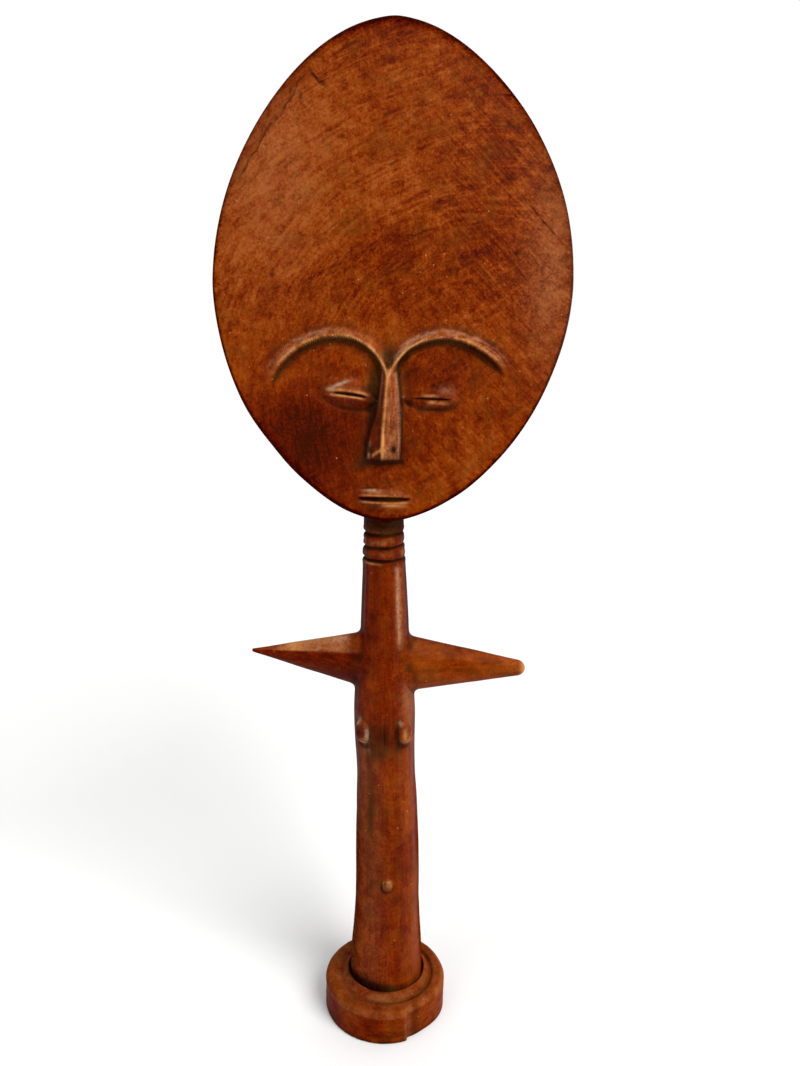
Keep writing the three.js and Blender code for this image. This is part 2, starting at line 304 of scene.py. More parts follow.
# Flats left by the knife: the direction each faces, from the front towards +X, and how deep it
# cuts, as a share of the radius, on the neck and on the body below the arms.
KNIFE_FLATS = [
    (-22, 0.030, 0.006),
    (36, 0.040, 0.012),
    (88, 0.022, 0.010),
    (141, 0.026, 0.012),
    (192, 0.030, 0.010),
    (239, 0.024, 0.013),
    (289, 0.030, 0.012),
]

# Rings cut round the neck: height, rise to the right, depth at the left front, depth at the right.
NECK_RINGS = [
    (NECK_JOINT, 0.1, 0.8, 0.35),
    (171.4, 0.55, 0.95, 0.6),
    (167.3, 0.15, 0.95, 0.45),
]
RING_HALF_WIDTH = 0.42
FLAT_BLEND = 0.12  # how softly the flats meet

# Breasts and navel: direction in degrees, height, half width, half height, how far it stands out
BREASTS = [(-43, 109.6, 2.8, 4.5, 1.7), (42, 109.6, 2.8, 4.3, 1.3)]
NAVEL = (0.9, 54.5, 1.8, 2.3, 0.65)

FOOT_TENON = 5.0
NECK_TENON = 3.4
ARM_TENON = 3.0
TENON_GAP = 0.3


def trunk_centre(z):
    return curve_through(CENTRE_Z, CENTRE_X, z)


def girth(z):
    """The round trunk's radius at a height, before it is carved."""
    return curve_through(TRUNK_Z, TRUNK_RADIUS, z)


def about_trunk(points):
    """Direction (0 is the front, positive towards +X) and distance from the trunk's centre line."""
    across = points[..., 0] - trunk_centre(points[..., 2])
    return np.arctan2(across, -points[..., 1]), np.hypot(across, points[..., 1])


def knob_place(turn, z, knob):
    """Place on a knob, across and up, from -1 to 1 between its edges."""
    degrees, middle, half_width, half_height, _ = knob
    arc = (turn - math.radians(degrees) + math.pi) % (2 * math.pi) - math.pi
    return arc * girth(middle) / half_width, (z - middle) / half_height


def knob_shape(turn, z, knob):
    """0 outside a knob and about 1 on its lumpy top, which slopes in gently from its edge."""
    across, up = knob_place(turn, z, knob)
    lumps = noise(np.stack([across, up, 0 * up + knob[0]], -1), 0.62, 14)
    rise = smooth(0, 0.7, 1 - (np.abs(across) ** 2.5 + np.abs(up) ** 2.5))
    return rise * (0.88 + 0.12 * lumps)


def groove_reach(turn, z, ring):
    """Signed height above a neck ring's bottom, and its depth there."""
    height, rise, left_depth, right_depth = ring
    right = np.sin(turn)
    middle = height + rise * right * np.abs(right) - 0.35 * np.cos(turn)
    return z - middle, left_depth + (right_depth - left_depth) * smooth(-0.5, 0.8, right)


def cut_ring(wall, turn, z, ring):
    """Cuts a neck ring's groove into a wall, with a slight swelling above and below it."""
    above, depth = groove_reach(turn, z, ring)
    wall = wall - depth * np.exp(-np.abs(above / RING_HALF_WIDTH) ** 1.6)
    return wall + 0.16 * bell(np.abs(above) - 1.3, 0.7)


def knife_flat(radius, turn, z, degrees, share):
    """How far out a flat lies that faces degrees and cuts a share of the radius away."""
    away = np.cos(turn - math.radians(degrees) - 0.05 * np.sin(z / 17 + degrees))
    return radius * (1 - share) / np.maximum(away, 0.25)


def trunk_radius(turn, z):
    """The carved body's radius towards turn (0 is the front, positive towards +X) at a height."""
    radius = wall = girth(z)
    neck = smooth(128, 146, z)
    for degrees, on_neck, on_body in KNIFE_FLATS:
        share = on_body + (on_neck - on_body) * neck
        wall = soft_min(wall, knife_flat(radius, turn, z, degrees, share), FLAT_BLEND)
    for knob in [*BREASTS, NAVEL]:
        wall = wall + knob[-1] * knob_shape(turn, z, knob)
    wall = wall - 0.55 * bell(z - 108.5, 5.5) * bell(turn + math.radians(8), math.radians(24))
    for ring in NECK_RINGS:
        wall = cut_ring(wall, turn, z, ring)
    place = np.stack([radius * np.sin(turn), -radius * np.cos(turn), z], -1)
    wall = wall + bumps(place, (0.10, 5.0, 11, [1, 1, 0.35]), (0.035, 1.6, 12, [1, 1, 0.25]))
    return wall - 0.10 * gouges(turn * 9, z / 1.7, 6.5, 13)


def trunk_point(turn, z, radius):
    return np.stack([trunk_centre(z) + radius * np.sin(turn), -radius * np.cos(turn), z], -1)


def round_ring(turn, z, radius):
    """A plain circle about the trunk's centre line."""
    return trunk_point(turn, np.full(len(turn), z), radius)


def carved_rings(turn, heights, radius_at):
    z, around = [grid.ravel() for grid in np.meshgrid(heights, turn, indexing="ij")]
    return trunk_point(around, z, radius_at(around, z)).reshape(len(heights), len(turn), 3)


def spaced(*stops):
    """Heights from (height, step) pairs: each step holds up to the next height."""
    parts = []
    for (low, step), (high, _) in zip(stops, stops[1:]):
        parts.append(np.linspace(low, high, max(2, round((high - low) / step)), endpoint=False))
    return np.concatenate([*parts, [stops[-1][0]]])


def make_column():
    low, high = COLUMN_LOW[2], COLUMN_HIGH[2]
    heights = spaced((low + 8, 0.6), (103, 0.32), (118, 0.5), (163, 0.22), (NECK_JOINT - 0.02, 0))
    turn = full_turn(TRUNK_SIDES)
    foot = [round_ring(turn, z, FOOT_TENON) for z in (low, heights[0])]
    neck = [round_ring(turn, z, NECK_TENON) for z in (heights[-1], high)]
    rings = np.concatenate([foot, carved_rings(turn, heights, trunk_radius), neck])
    ends = [[trunk_centre(z), 0, z] for z in (low, high)]
    return solid_object("column_wood", *ring_skin(rings, *ends))


# ---- Arms ----

ARM_FLATNESS = 0.58
ARM_DEPTH = 5.0  # how far from the trunk's centre line an arm's mesh begins
TENON_DEPTH = 4.4  # the same for its tenon
TENON_OVERLAP = 2.0  # how far the tenon runs on inside the arm
ARM_BEVEL = math.radians(38)  # which way the long cut on an arm faces, from straight up
ARM_SIDES = 150
FILLET = 1.9  # how widely an arm's root flares into the trunk
# Side, root (x, z, upright radius), tip (x, z, upright radius), how diamond-like its section is
ARMS = {
    "arm_left": (-1, (-11.3, 132.0, 8.9), (LEFT_LOW[0], 134.4, 0.55), 1.75),
    "arm_right": (1, (8.5, 130.6, 9.3), (RIGHT_HIGH[0], 129.4, 2.3), 1.85),
}


def arm_section(turn, power):
    """Directions round an arm, each as long as the arm is wide there: a flattened diamond."""
    up, front = np.cos(turn), np.sin(turn)
    section = (np.abs(up) ** power + np.abs(front) ** power) ** (-1 / power)
    # One long knife cut takes the top off the front.
    section = soft_min(section, 0.90 / np.maximum(np.cos(turn - ARM_BEVEL), 0.2), 0.06)
    return np.stack([0 * up, -front * ARM_FLATNESS, up], -1) * section[:, None]


FLARE_STEPS = 14  # halvings of the search for the flare's surface


def flare(surface, away):
    """Pushes each point of an arm out until it meets the rounded meeting of arm and trunk."""
    low = np.zeros(surface.shape[:2])
    high = np.full(surface.shape[:2], FILLET)
    for _ in range(FLARE_STEPS):
        push = (low + high) / 2
        place = surface + away * push[..., None]
        turn, radius = about_trunk(place)
        from_trunk = radius - trunk_radius(turn.ravel(), place[..., 2].ravel()).reshape(push.shape)
        outside = soft_min(push, from_trunk, FILLET) > 0
        high = np.where(outside, push, high)
        low = np.where(outside, low, push)
    return surface + away * ((low + high) / 2)[..., None]


def make_arm(node, trunk):
    side, (root_x, root_z, root_radius), (tip_x, tip_z, tip_radius), power = ARMS[node]
    inner = trunk_centre(root_z) + side * ARM_DEPTH
    outwards = spaced((0, 0.16), (8, 0.45), (abs(tip_x - inner) - tip_radius, 0))
    # The rounded tip: rings close in by a quarter circle.
    bend = quarter_turn(8)[:-1]
    x = inner + side * np.append(outwards, outwards[-1] + tip_radius * np.sin(bend))
    close = np.append(np.ones(len(outwards)), np.cos(bend))
    share = (x - root_x) / (tip_x - root_x)
    size = (root_radius + (tip_radius - root_radius) * share) * close
    middle = np.stack([x, 0 * x, root_z + (tip_z - root_z) * share], -1)
    section = arm_section(full_turn(ARM_SIDES), power)
    surface = middle[:, None] + section * size[:, None, None]
    away = section / np.linalg.norm(section, axis=-1, keepdims=True)
    rough = bumps(surface.reshape(-1, 3), (0.10, 4.0, 21, [0.4, 1, 1]), (0.03, 1.3, 22, [0.3, 1, 1]))
    rough = rough.reshape(len(size), -1, 1) * np.minimum(1, size / 2)[:, None, None]
    surface = flare(surface + away * rough, away)
    arm = solid_object(f"{node}_wood", *ring_skin(surface, middle[0], [tip_x, 0, tip_z]))
    combine(arm, trunk, "DIFFERENCE", keep_tool=True)
    return arm


def arm_tenon_line(node, extra=0.0):
    side, (root_x, root_z, _), (tip_x, tip_z, _), _ = ARMS[node]
    slope = (tip_z - root_z) / (tip_x - root_x)
    inner = trunk_centre(root_z) + side * (TENON_DEPTH - extra)
    outer = root_x + side * TENON_OVERLAP
    return [[x, 0, root_z + slope * (x - root_x)] for x in (inner, outer)]


# ---- Base ----

STEP_FROM, STEP_TO = math.radians(23), math.radians(62)  # the knife cut, from the front towards +X
BASE_TOP = 12.5
COLLAR_TOP = BASE_HIGH[2] - 0.15
COLLAR = 15.7  # where the sloping collar meets the base's top
FOOT_RADIUS = 13.0
EDGE_ROUND = 1.9
FLAT_SIZE = 7.5  # about how wide the small flats round the edge are
EDGE_RADIUS = 21.5
FOOT_LEDGE = BASE_TOP - 0.4  # where the trunk's underside rests
LOW_EDGE = 0.7  # rounding of the lower edge
BASE_SIDES = 360
TOP_RINGS = 84
SIDE_RINGS = 26


def base_edge(turn, inset):
    """The base's radius: nearly round, with one cut on its front right and small hand-cut flats."""
    edge = BASE_HIGH[0] - inset - 0.10
    edge = edge - 0.16 * gouges(turn * EDGE_RADIUS, np.zeros_like(turn), FLAT_SIZE, 31)
    start = smooth(STEP_FROM - 0.03, STEP_FROM + 0.02, turn)
    return edge - 1.25 * start * smooth(STEP_TO + 0.25, STEP_FROM + 0.25, turn)


def collar_and_top(turn, radius, inner):
    """Height of the base's upper side, from the lip round the foot out to the edge."""
    around = np.stack([np.sin(turn), np.cos(turn)], -1)
    slope_end = COLLAR + 0.35 * noise(around * 15, 9, 33)
    fall = smooth(FOOT_RADIUS + 0.35, slope_end, radius)
    lip = smooth(0.0, 0.5, radius - inner)
    high = COLLAR_TOP - 0.5 + 0.3 * noise(around * 15, 7, 34) - 0.45 * (1 - lip)
    height = BASE_TOP + (high - BASE_TOP) * (1 - fall)
    crease = slope_end + 0.5
    height = height - (0.12 + 0.4 * smooth(-0.4, 0.8, turn)) * bell(radius - crease, 0.7)
    height = height + bumps(around * radius[:, None], (0.13, 5, 36, 1), (0.04, 1.8, 39, 1))
    return np.minimum(height - 0.55 * smooth(16.5, 21.5, radius), BASE_HIGH[2])


def make_base():
    turn = full_turn(BASE_SIDES, -math.pi)
    floor = COLUMN_LOW[2] - TENON_GAP
    socket_radius = FOOT_TENON + TENON_GAP
    foot_x = trunk_centre(BASE_TOP)
    rings = []

    def ring(radius, z, centre=0.0):
        radius, z, _ = np.broadcast_arrays(radius, z, turn)
        rings.append(np.stack([centre + radius * np.sin(turn), -radius * np.cos(turn), z], -1))

    for radius, z in (
        (socket_radius, floor),
        (socket_radius, FOOT_LEDGE),
        (FOOT_RADIUS - 0.2, FOOT_LEDGE),
        (FOOT_RADIUS, COLLAR_TOP - 1.2),
    ):
        ring(radius, z, foot_x)
    # Over the collar, down its slope and across the top to the edge
    inner = FOOT_RADIUS + 0.1 + 0.12 * noise(np.stack([np.sin(turn), np.cos(turn)], -1) * 15, 5, 32)
    outer = base_edge(turn, EDGE_ROUND)
    for share in np.linspace(0, 1, TOP_RINGS):
        radius = inner + (outer - inner) * share
        ring(radius, collar_and_top(turn, radius, inner), foot_x * (1 - smooth(0.3, 0.6, share)))
    edge_top = rings[-1][:, 2]
    for bend in quarter_turn(8):
        inset = EDGE_ROUND * (1 - math.sin(bend))
        ring(base_edge(turn, inset), edge_top - EDGE_ROUND * (1 - math.cos(bend)))
    for share in np.linspace(0, 1, SIDE_RINGS)[1:]:
        z = (edge_top - EDGE_ROUND) * (1 - share) + LOW_EDGE * share
        around = np.stack([turn * EDGE_RADIUS, z], -1)
        wobble = bumps(around, (0.10, 4, 37, 1), (0.05, 2, 38, [0.4, 2]))
        ring(base_edge(turn, 0) + wobble - 0.1, z)
    for bend in quarter_turn(5):
        inset = 0.15 + LOW_EDGE * (1 - math.cos(bend))
        ring(base_edge(turn, inset), LOW_EDGE * (1 - math.sin(bend)))
    ring(12.0, 0.0)
    return solid_object("base_wood", *ring_skin(np.stack(rings), [foot_x, 0, floor], [0, 0, 0]))


# ---- Head: the carving of the face, as heights w over (u, v) ----

# A brow: points (u, v) of its sharp ridge, from the nose outwards
LEFT_BROW = [(-1.2, 44.6), (-3.3, 49.2), (-6.6, 52.9), (-10.7, 55.4), (-15.5, 56.4), (-20.5, 56.0),
             (-25.5, 54.4), (-30.3, 51.5), (-34.6, 46.9), (-37.6, 41.6)]
RIGHT_BROW = [(-0.7, 44.8), (1.5, 49.0), (4.6, 52.4), (8.2, 54.6), (12.6, 55.9), (17.5, 56.2),
              (22.5, 55.1), (27.5, 52.7), (31.8, 49.6), (35.4, 45.6)]
BROW_HEIGHT = 1.55
HOLLOW_DEPTH = 1.5

# Nose, from its foot up: v, the u of its left edge, ridge and right edge, and the heights of its
# ridge and edges
NOSE = np.array([
    (19.5, -7.3, -2.4, 2.9, 5.6, 3.2),
    (22, -7.2, -2.4, 3.0, 5.35, 3.0),
    (25.5, -6.8, -2.3, 3.1, 4.8, 2.6),
    (30, -5.8, -2.2, 3.1, 4.1, 2.1),
    (35, -4.5, -1.8, 2.9, 3.4, 1.6),
    (40, -4.0, -1.5, 2.6, 2.7, 1.1),
    (46, -3.4, -1.1, 2.0, 1.75, 0.3),
    (50, -3.4, -1.0, 2.0, 0.2, -1.5),
])
NOSE_TOP = 49
NOSTRILS = [(-6.3, 22.9), (0.9, 22.9)]
FACE_TOP = 66  # nothing is carved above this v

# A closed eye or mouth: middle u, half length, v of the slit at its two ends, its bow upwards,
# reach above and below the slit, height, and the half width, depth and half length of the slit
Mound = namedtuple(
    "Mound", "middle half left_v right_v bow above below height slit_width slit_depth slit_length"
)
LEFT_EYE = Mound(-12.4, 8.2, 39.9, 37.9, 0.5, 5.6, 3.9, 2.3, 0.34, 1.2, 0.46)
RIGHT_EYE = Mound(12.2, 8.2, 38.6, 38.1, 0.0, 3.9, 2.9, 1.2, 0.26, 0.9, 0.55)
MOUTH = Mound(-1.8, 8.9, 8.3, 8.1, -0.25, 3.6, 2.7, 1.4, 0.58, 1.9, 0.76)

# Pits beside the top of the nose and in the eyes' inner corners: u, v, depth
PITS = [(-7.0, 43.0, 0.9), (4.6, 44.0, 0.8), (-6.8, 36.5, 0.7), (4.8, 37.2, 0.4)]

# Small dents: u, v, radius, depth
DENTS = [(-30.5, 127.5, 0.8, 0.5), (-27.6, 125.2, 0.6, 0.45), (-33, 130.3, 0.7, 0.4),
         (33.5, 118.5, 0.8, 0.35), (36.5, 81.5, 0.7, 0.35), (-36, 74.5, 0.8, 0.25), (14.5, 101, 0.6, 0.3)]


def head_to_world(u, v, w):
    across = np.stack([u, np.zeros_like(u), np.zeros_like(u)], -1)
    return HEAD_PLACE + across + np.multiply.outer(v, UP_FACE) + np.multiply.outer(w, OUT_OF_FACE)


def world_to_head(points):
    place = points - HEAD_PLACE
    return place[:, 0], place @ UP_FACE, place @ OUT_OF_FACE


def from_line(u, v, points, steps=70):
    """Distance to a smooth line through points, signed + above it, and the share along it."""
    points = np.asarray(points, float)
    knots = np.linspace(0, 1, len(points))
    share = np.linspace(0, 1, steps)
    line = np.stack([curve_through(knots, column, share) for column in points.T], -1)
    best = np.full(u.shape, 1e9)
    side, along = np.zeros(u.shape), np.zeros(u.shape)
    for i, (start, (step_u, step_v)) in enumerate(zip(line, np.diff(line, axis=0))):
        du, dv = u - start[0], v - start[1]
        t = np.clip((du * step_u + dv * step_v) / (step_u**2 + step_v**2), 0, 1)
        apart = np.hypot(du - t * step_u, dv - t * step_v)
        closer = apart < best
        best = np.where(closer, apart, best)
        side = np.where(closer, np.sign(step_u * dv - step_v * du), side)
        along = np.where(closer, (i + t) / (steps - 1), along)
    rightwards = np.sign(points[-1, 0] - points[0, 0])
    return best * side * rightwards, along


def slit_mound(u, v, mound):
    """A raised almond with a slit. Gives its heights, how deep in the slit a point is (0 to 1),
    the height above the slit's line, and the share along it, from -1 to 1."""
    s = (u - mound.middle) / mound.half
    slit_v = mound.left_v + (mound.right_v - mound.left_v) * (s + 1) / 2 + mound.bow * (1 - s * s)
    y = v - slit_v
    upper = np.clip(1 - np.abs(y) / np.maximum(mound.above * round_off(s), 1e-3), 0, 1)
    lower = np.clip(1 - np.abs(y) / np.maximum(mound.below * round_off(s), 1e-3), 0, 1)
    lid = np.where(y > 0, smooth(0, 1.1, upper) ** 1.2, smooth(0, 0.75, lower) * 0.95)
    length = mound.slit_length
    narrow = np.maximum(mound.slit_width * round_off(s / (length + 0.15)), 0.08)
    slit = np.exp(-np.abs(y / narrow) ** 2.2) * smooth(length + 0.22, length, np.abs(s))
    return mound.height * lid * round_off(s) ** 0.7 - mound.slit_depth * slit, slit, y, s


def brow_parts(u, v):
    """The nearer brow: signed distance to its ridge, share along it, and whether it is the left."""
    left_d, left_t = from_line(u, v, LEFT_BROW)
    right_d, right_t = from_line(u, v, RIGHT_BROW)
    left = np.abs(left_d) < np.abs(right_d)
    return np.where(left, left_d, right_d), np.where(left, left_t, right_t), left


def brow_underside(along):
    """Width of the plane under a brow's ridge: broad where it meets the nose, and at its tail."""
    return 0.75 + 1.3 * smooth(0.22, 0.0, along) + 1.0 * smooth(0.5, 1.0, along)


def nose_lines(v):
    """The nose's left edge, ridge and right edge as u, and the heights of its ridge and edges."""
    return [curve_through(NOSE[:, 0], column, v) for column in NOSE[:, 1:].T]


def nose_height(u, v):
    left_u, ridge_u, right_u, ridge, edge = nose_lines(v)
    left_side = ridge - (ridge - edge) * (ridge_u - u) / (ridge_u - left_u)
    right_side = ridge - (ridge - edge * 1.15) * (u - ridge_u) / (right_u - ridge_u)
    block = soft_min(left_side, right_side, 0.22)
    block = soft_min(block, edge + 0.3 + (u - left_u - 0.35) * 7, 0.3)
    block = soft_min(block, edge + 0.3 + (right_u - 0.45 - u) * 7, 0.3)
    foot_v = 20.1 + 0.018 * (u + 2.2) ** 2
    block = soft_min(block, 3.1 + (v - foot_v) * 4.0, 0.25)
    tip = 4.9 + (v - 23.3) * 0.62 - 0.10 * np.abs(u - ridge_u)
    block = soft_min(block, tip, 0.15)
    for nostril_u, nostril_v in NOSTRILS:
        block = block - 1.2 * bell(u - nostril_u, 0.75) * bell(v - nostril_v, 1.1)
    return np.where(v < NOSE_TOP, block, -9)


def crown_height(u, v):
    length = np.where(v > EGG_WIDEST, EGG_UP, EGG_DOWN)
    out = (u / EGG_HALF_WIDTH) ** 2 + ((v - EGG_WIDEST) / length) ** 2
    return 0.8 - CROWN * out


def brow_height(u, v):
    """The brows, the hollows under them, and the dip between them."""
    d, along, _ = brow_parts(u, v)
    end = 1 - smooth(0.82, 1.0, along)
    ridge = BROW_HEIGHT * (0.25 + 0.75 * end) * end**0.5
    wide = 2.1 - 0.9 * smooth(0.22, 0.0, along)
    edge = brow_underside(along)
    inside = smooth(0, 1, -d / edge)
    brow = ridge * np.where(d > 0, np.exp(-((np.maximum(d, 0) / wide) ** 1.5)), 1 - inside)
    hollow = HOLLOW_DEPTH * inside * bell(np.maximum(-d, 0), 15) * (0.15 + 0.85 * end)
    dip = 0.6 * bell(u + 0.9, 1.6) * bell(v - 48.2, 2.4) * (d > 0)
    return brow - hollow - 0.3 * bell(d + edge + 0.2, 0.45) * end - dip


def carved_height(u, v):
    """The carving of the face, over the plain crown of the head."""
    carved = brow_height(u, v)
    for pit_u, pit_v, depth in PITS:
        carved = carved - depth * bell(u - pit_u, 2.0) * bell(v - pit_v, 4.0)
    # A little hollow all round the foot of the nose
    carved = carved - 0.5 * bell(u + 2.2, 6) * bell(v - 18.6, 1.3)
    for eye in (LEFT_EYE, RIGHT_EYE):
        rise, _, y, s = slit_mound(u, v, eye)
        carved = carved + rise - 0.35 * bell(y + eye.below * round_off(s) + 0.5, 0.7) * (np.abs(s) < 1)
    carved = carved + slit_mound(u, v, MOUTH)[0]
    return soft_max(carved, nose_height(u, v), 0.25)


def face_height(u, v):
    """The front of the head."""
    place = np.stack([u, v], -1)
    height = crown_height(u, v) + bumps(place, (0.16, 26, 41, 1), (0.05, 7, 42, 1), (0.018, 2.2, 43, 1))
    face = v < FACE_TOP
    height[face] += carved_height(u[face], v[face])
    for dent_u, dent_v, radius, depth in DENTS:
        height = height - depth * np.exp(-(((u - dent_u) ** 2 + (v - dent_v) ** 2) / radius**2) ** 1.5)
    return height


def egg_reach(angle):
    """Distance from the middle of the face to the egg's edge in each direction."""
    du, dv = np.cos(angle), np.sin(angle)
    low, high = np.zeros_like(angle), np.full_like(angle, 160.0)
    for _ in range(40):
        middle = (low + high) / 2
        inside = egg_share(FACE_CENTRE[0] + du * middle, FACE_CENTRE[1] + dv * middle) < 1
        low = np.where(inside, middle, low)
        high = np.where(inside, high, middle)
    wobble = noise(np.stack([np.cos(angle), np.sin(angle)], -1) * 60, 14, 44)
    return low - 0.14 + 0.14 * wobble


def egg_share(u, v):
    """0 at the egg's middle and 1 at its edge."""
    side = smooth(-6, 6, u)
    u = u - (1 - side) * curve_through(*EDGE_STRAY[-1], v) - side * curve_through(*EDGE_STRAY[1], v)
    length = np.where(v > EGG_WIDEST, EGG_UP, EGG_DOWN)
    power = np.where(v > EGG_WIDEST, EGG_UP_POWER, EGG_DOWN_POWER)
    total = (np.abs(u) / EGG_HALF_WIDTH) ** power + (np.abs(v - EGG_WIDEST) / length) ** power
    return total ** (1 / power)


def back_depth(u, v):
    """How far behind the face's front plane the back of the head lies."""
    share = egg_share(u, v)
    dome = np.clip(1 - share**2, 0, 1) ** 0.8
    scoops = 0.34 * (gouges(u, v / 1.5, 9.5, 45) - 0.2) + 0.12 * noise(np.stack([u, v], -1), 3.5, 47)
    return RIM_BACK + (BACK_DEPTH - RIM_BACK) * dome - scoops * smooth(0, 0.2, dome)


def make_head_plate():
    angle = full_turn(HEAD_SPOKES)
    reach = egg_reach(angle)
    rings = []

    def ring(distance, w_at):
        u, v = FACE_CENTRE[0] + np.cos(angle) * distance, FACE_CENTRE[1] + np.sin(angle) * distance
        w = w_at(u, v)
        rings.append(head_to_world(u, v, w))
        return w

    # Rings lie closer together over the carved face than up on the forehead.
    inner = reach - RIM_ROLL
    close = np.minimum(inner, 50)
    for share in np.arange(1, FRONT_RINGS + 1) / FRONT_RINGS:
        rim_w = ring(close * share + (inner - close) * share**2.4, face_height)
    for bend in quarter_turn(ROLL_RINGS):
        w = rim_w - RIM_ROLL * (1 - math.cos(bend))
        ring(reach - RIM_ROLL * (1 - math.sin(bend)), lambda u, v: w)
    for share in np.linspace(1, 0, BACK_RINGS, endpoint=False):
        ring(reach * (1 - (1 - share) ** 1.25), lambda u, v: -back_depth(u, v))
    u, v = FACE_CENTRE[:1], FACE_CENTRE[1:]
    start = head_to_world(u, v, face_height(u, v))[0]
    end = head_to_world(u, v, -back_depth(u, v))[0]
    return solid_object("head_wood", *ring_skin(np.stack(rings), start, end))


NAPE_TOP = 238.0
NAPE_SIDES = 160
SOCKET_TOP = COLUMN_HIGH[2] + TENON_GAP


def nape_radius(turn, z):
    """The neck above its top ring: it swells forwards under the chin and dies away up the back."""
    radius = girth(z) * (1 - smooth(200, NAPE_TOP, z) * 0.72)
    for degrees, on_neck, _ in KNIFE_FLATS:
        radius = soft_min(radius, knife_flat(radius, turn, z, degrees, on_neck), FLAT_BLEND)
    radius = cut_ring(radius, turn, z, NECK_RINGS[0])
    front = np.maximum(np.cos(turn), 0)
    return radius + 4.4 * smooth(178, 183, z) * smooth(193, 184, z) * front**2


def make_nape():
    heights = spaced((NECK_JOINT + 0.02, 0.3), (190, 1.0), (NAPE_TOP, 0))
    turn = full_turn(NAPE_SIDES)
    socket = [round_ring(turn, z, NECK_TENON + TENON_GAP) for z in (SOCKET_TOP, heights[0])]
    rings = np.concatenate([socket, carved_rings(turn, heights, nape_radius)])
    ends = [[trunk_centre(z), 0, z] for z in (SOCKET_TOP, NAPE_TOP)]
    return solid_object("nape", *ring_skin(rings, *ends))


def make_head():
    head = make_head_plate()
    combine(head, make_nape(), "UNION")
    # The socket runs on up into the plate.
    x = trunk_centre(NECK_JOINT)
    socket_line = [x, 0, NECK_JOINT - 1], [x, 0, SOCKET_TOP]
    combine(head, rod("socket", NECK_TENON + TENON_GAP, *socket_line), "DIFFERENCE")
    points = points_of(head)
    z = points[:, 2]
    u, v, w = world_to_head(points)
    turn, radius = about_trunk(points)
    from_neck = np.abs(radius - nape_radius(turn, z))
    from_back = np.abs(w + back_depth(u, v))
    nape_crease = smooth(3.0, 1.0, from_neck) * smooth(3.0, 1.0, from_back) * (z > 184)
    under_chin = smooth(2.6, 1.0, from_neck) * smooth(178, 180, z) * smooth(188, 184, z)
    soften(head, np.maximum(nape_crease, under_chin * smooth(-2.6, -3.6, w)), 24)
    return head


# ---- Assemble ----

column = make_column()
arms = {node: make_arm(node, column) for node in ARMS}
for node, arm in arms.items():
    combine(arm, rod("tenon", ARM_TENON, *arm_tenon_line(node)), "UNION")
    combine(column, rod("socket", ARM_TENON + TENON_GAP, *arm_tenon_line(node, TENON_GAP)), "DIFFERENCE")
head = make_head()
base = make_base()

PIECES = {"head": head, "column": column, "base": base, **arms}

# ---- Stain, wear, dirt, and painted shade, sheen and glints: one number a point, painted on each piece ----

# The dark layer holds dirt and painted shade, the pinkish rubbed layer holds rubbed wood and painted sheen,
# and the grey-white layer holds dust and painted glints; tone holds painted light and shade in places.
LAYERS = ("tone", "dirt", "worn", "rub", "chalk", "dull")


def relief(piece, rounds):
    """How far each point stands out of (+) or lies below (-) the smoothed surface, in millimetres."""
    points = smoothed = points_of(piece)
    for _ in range(rounds):
        smoothed = neighbour_mean(piece, smoothed)
    return ((points - smoothed) * read_vectors(piece, "normal")).sum(-1)


def paint(piece, name, values):
    layer = piece.data.attributes.new(name, "FLOAT", "POINT")
    layer.data.foreach_set("value", np.clip(values, 0, 1).astype(np.float32))


def paint_coat(piece, *coats):
    """Adds up coats of paint, each a share and its layers, and paints the sums on the piece."""
    for name in LAYERS:
        total = sum(share * layers[name] for share, layers in coats if name in layers)
        paint(piece, name, total + np.zeros(len(piece.data.vertices)))


def spots(u, v, *places):
    """Soft spots laid over each other: strength, middle u and v, half width and half height."""
    return sum(
        strength * bell(u - middle_u, wide) * bell(v - middle_v, high)
        for strength, middle_u, middle_v, wide, high in places
    )


def patches(points, low, high, size, seed):
    """Noise about the points as soft patches, 0 to 1."""
    return smooth(low, high, noise(points, size, seed))


def face_stain_and_light(u, v):
    """Broad patches of lighter and darker stain, with painted shade over the left cheek, painted light on
    the right cheek and a painted sheen high on the left of the forehead.
    """
    return 0.54 + spots(
        u, v,
        (0.20, -30, 104, 20, 36), (0.09, -48, 66, 14, 26), (-0.06, 49, 78, 9, 30),
        (-0.12, 28, 98, 18, 26), (0.10, 4, 118, 18, 14), (-0.12, 30, 132, 16, 14),
        (-0.08, 2, 68, 34, 12), (-0.49, -26, 24, 24, 20), (-0.16, -6, 148, 24, 8),
        (-0.12, 8, 30, 12, 10), (0.21, 24, 20, 12, 12), (-0.17, 32, 79, 7, 12),
        (-0.20, -2, 82, 14, 9), (-0.14, 13, 47, 9, 7), (0.10, 2, 102, 10, 8),
        (-0.08, -2, 150, 20, 14), (-0.12, 26, 28, 18, 18), (-0.12, 14, 47, 12, 7),
        (-0.06, -28, 35, 10, 8),
    )


def brow_marks(u, v):
    """Where a point lies on the brows, and the streaks and specks drawn out along them."""
    d, along, left = brow_parts(u, v)
    streaks = patches(np.stack([along * 24, d * 2.2], -1), -0.45, 0.45, 1.0, 66)
    specks = patches(np.stack([along * 60, d], -1), -0.3, 0.6, 0.8, 67)
    return SimpleNamespace(d=d, along=along, left=left, streaks=streaks, specks=specks)


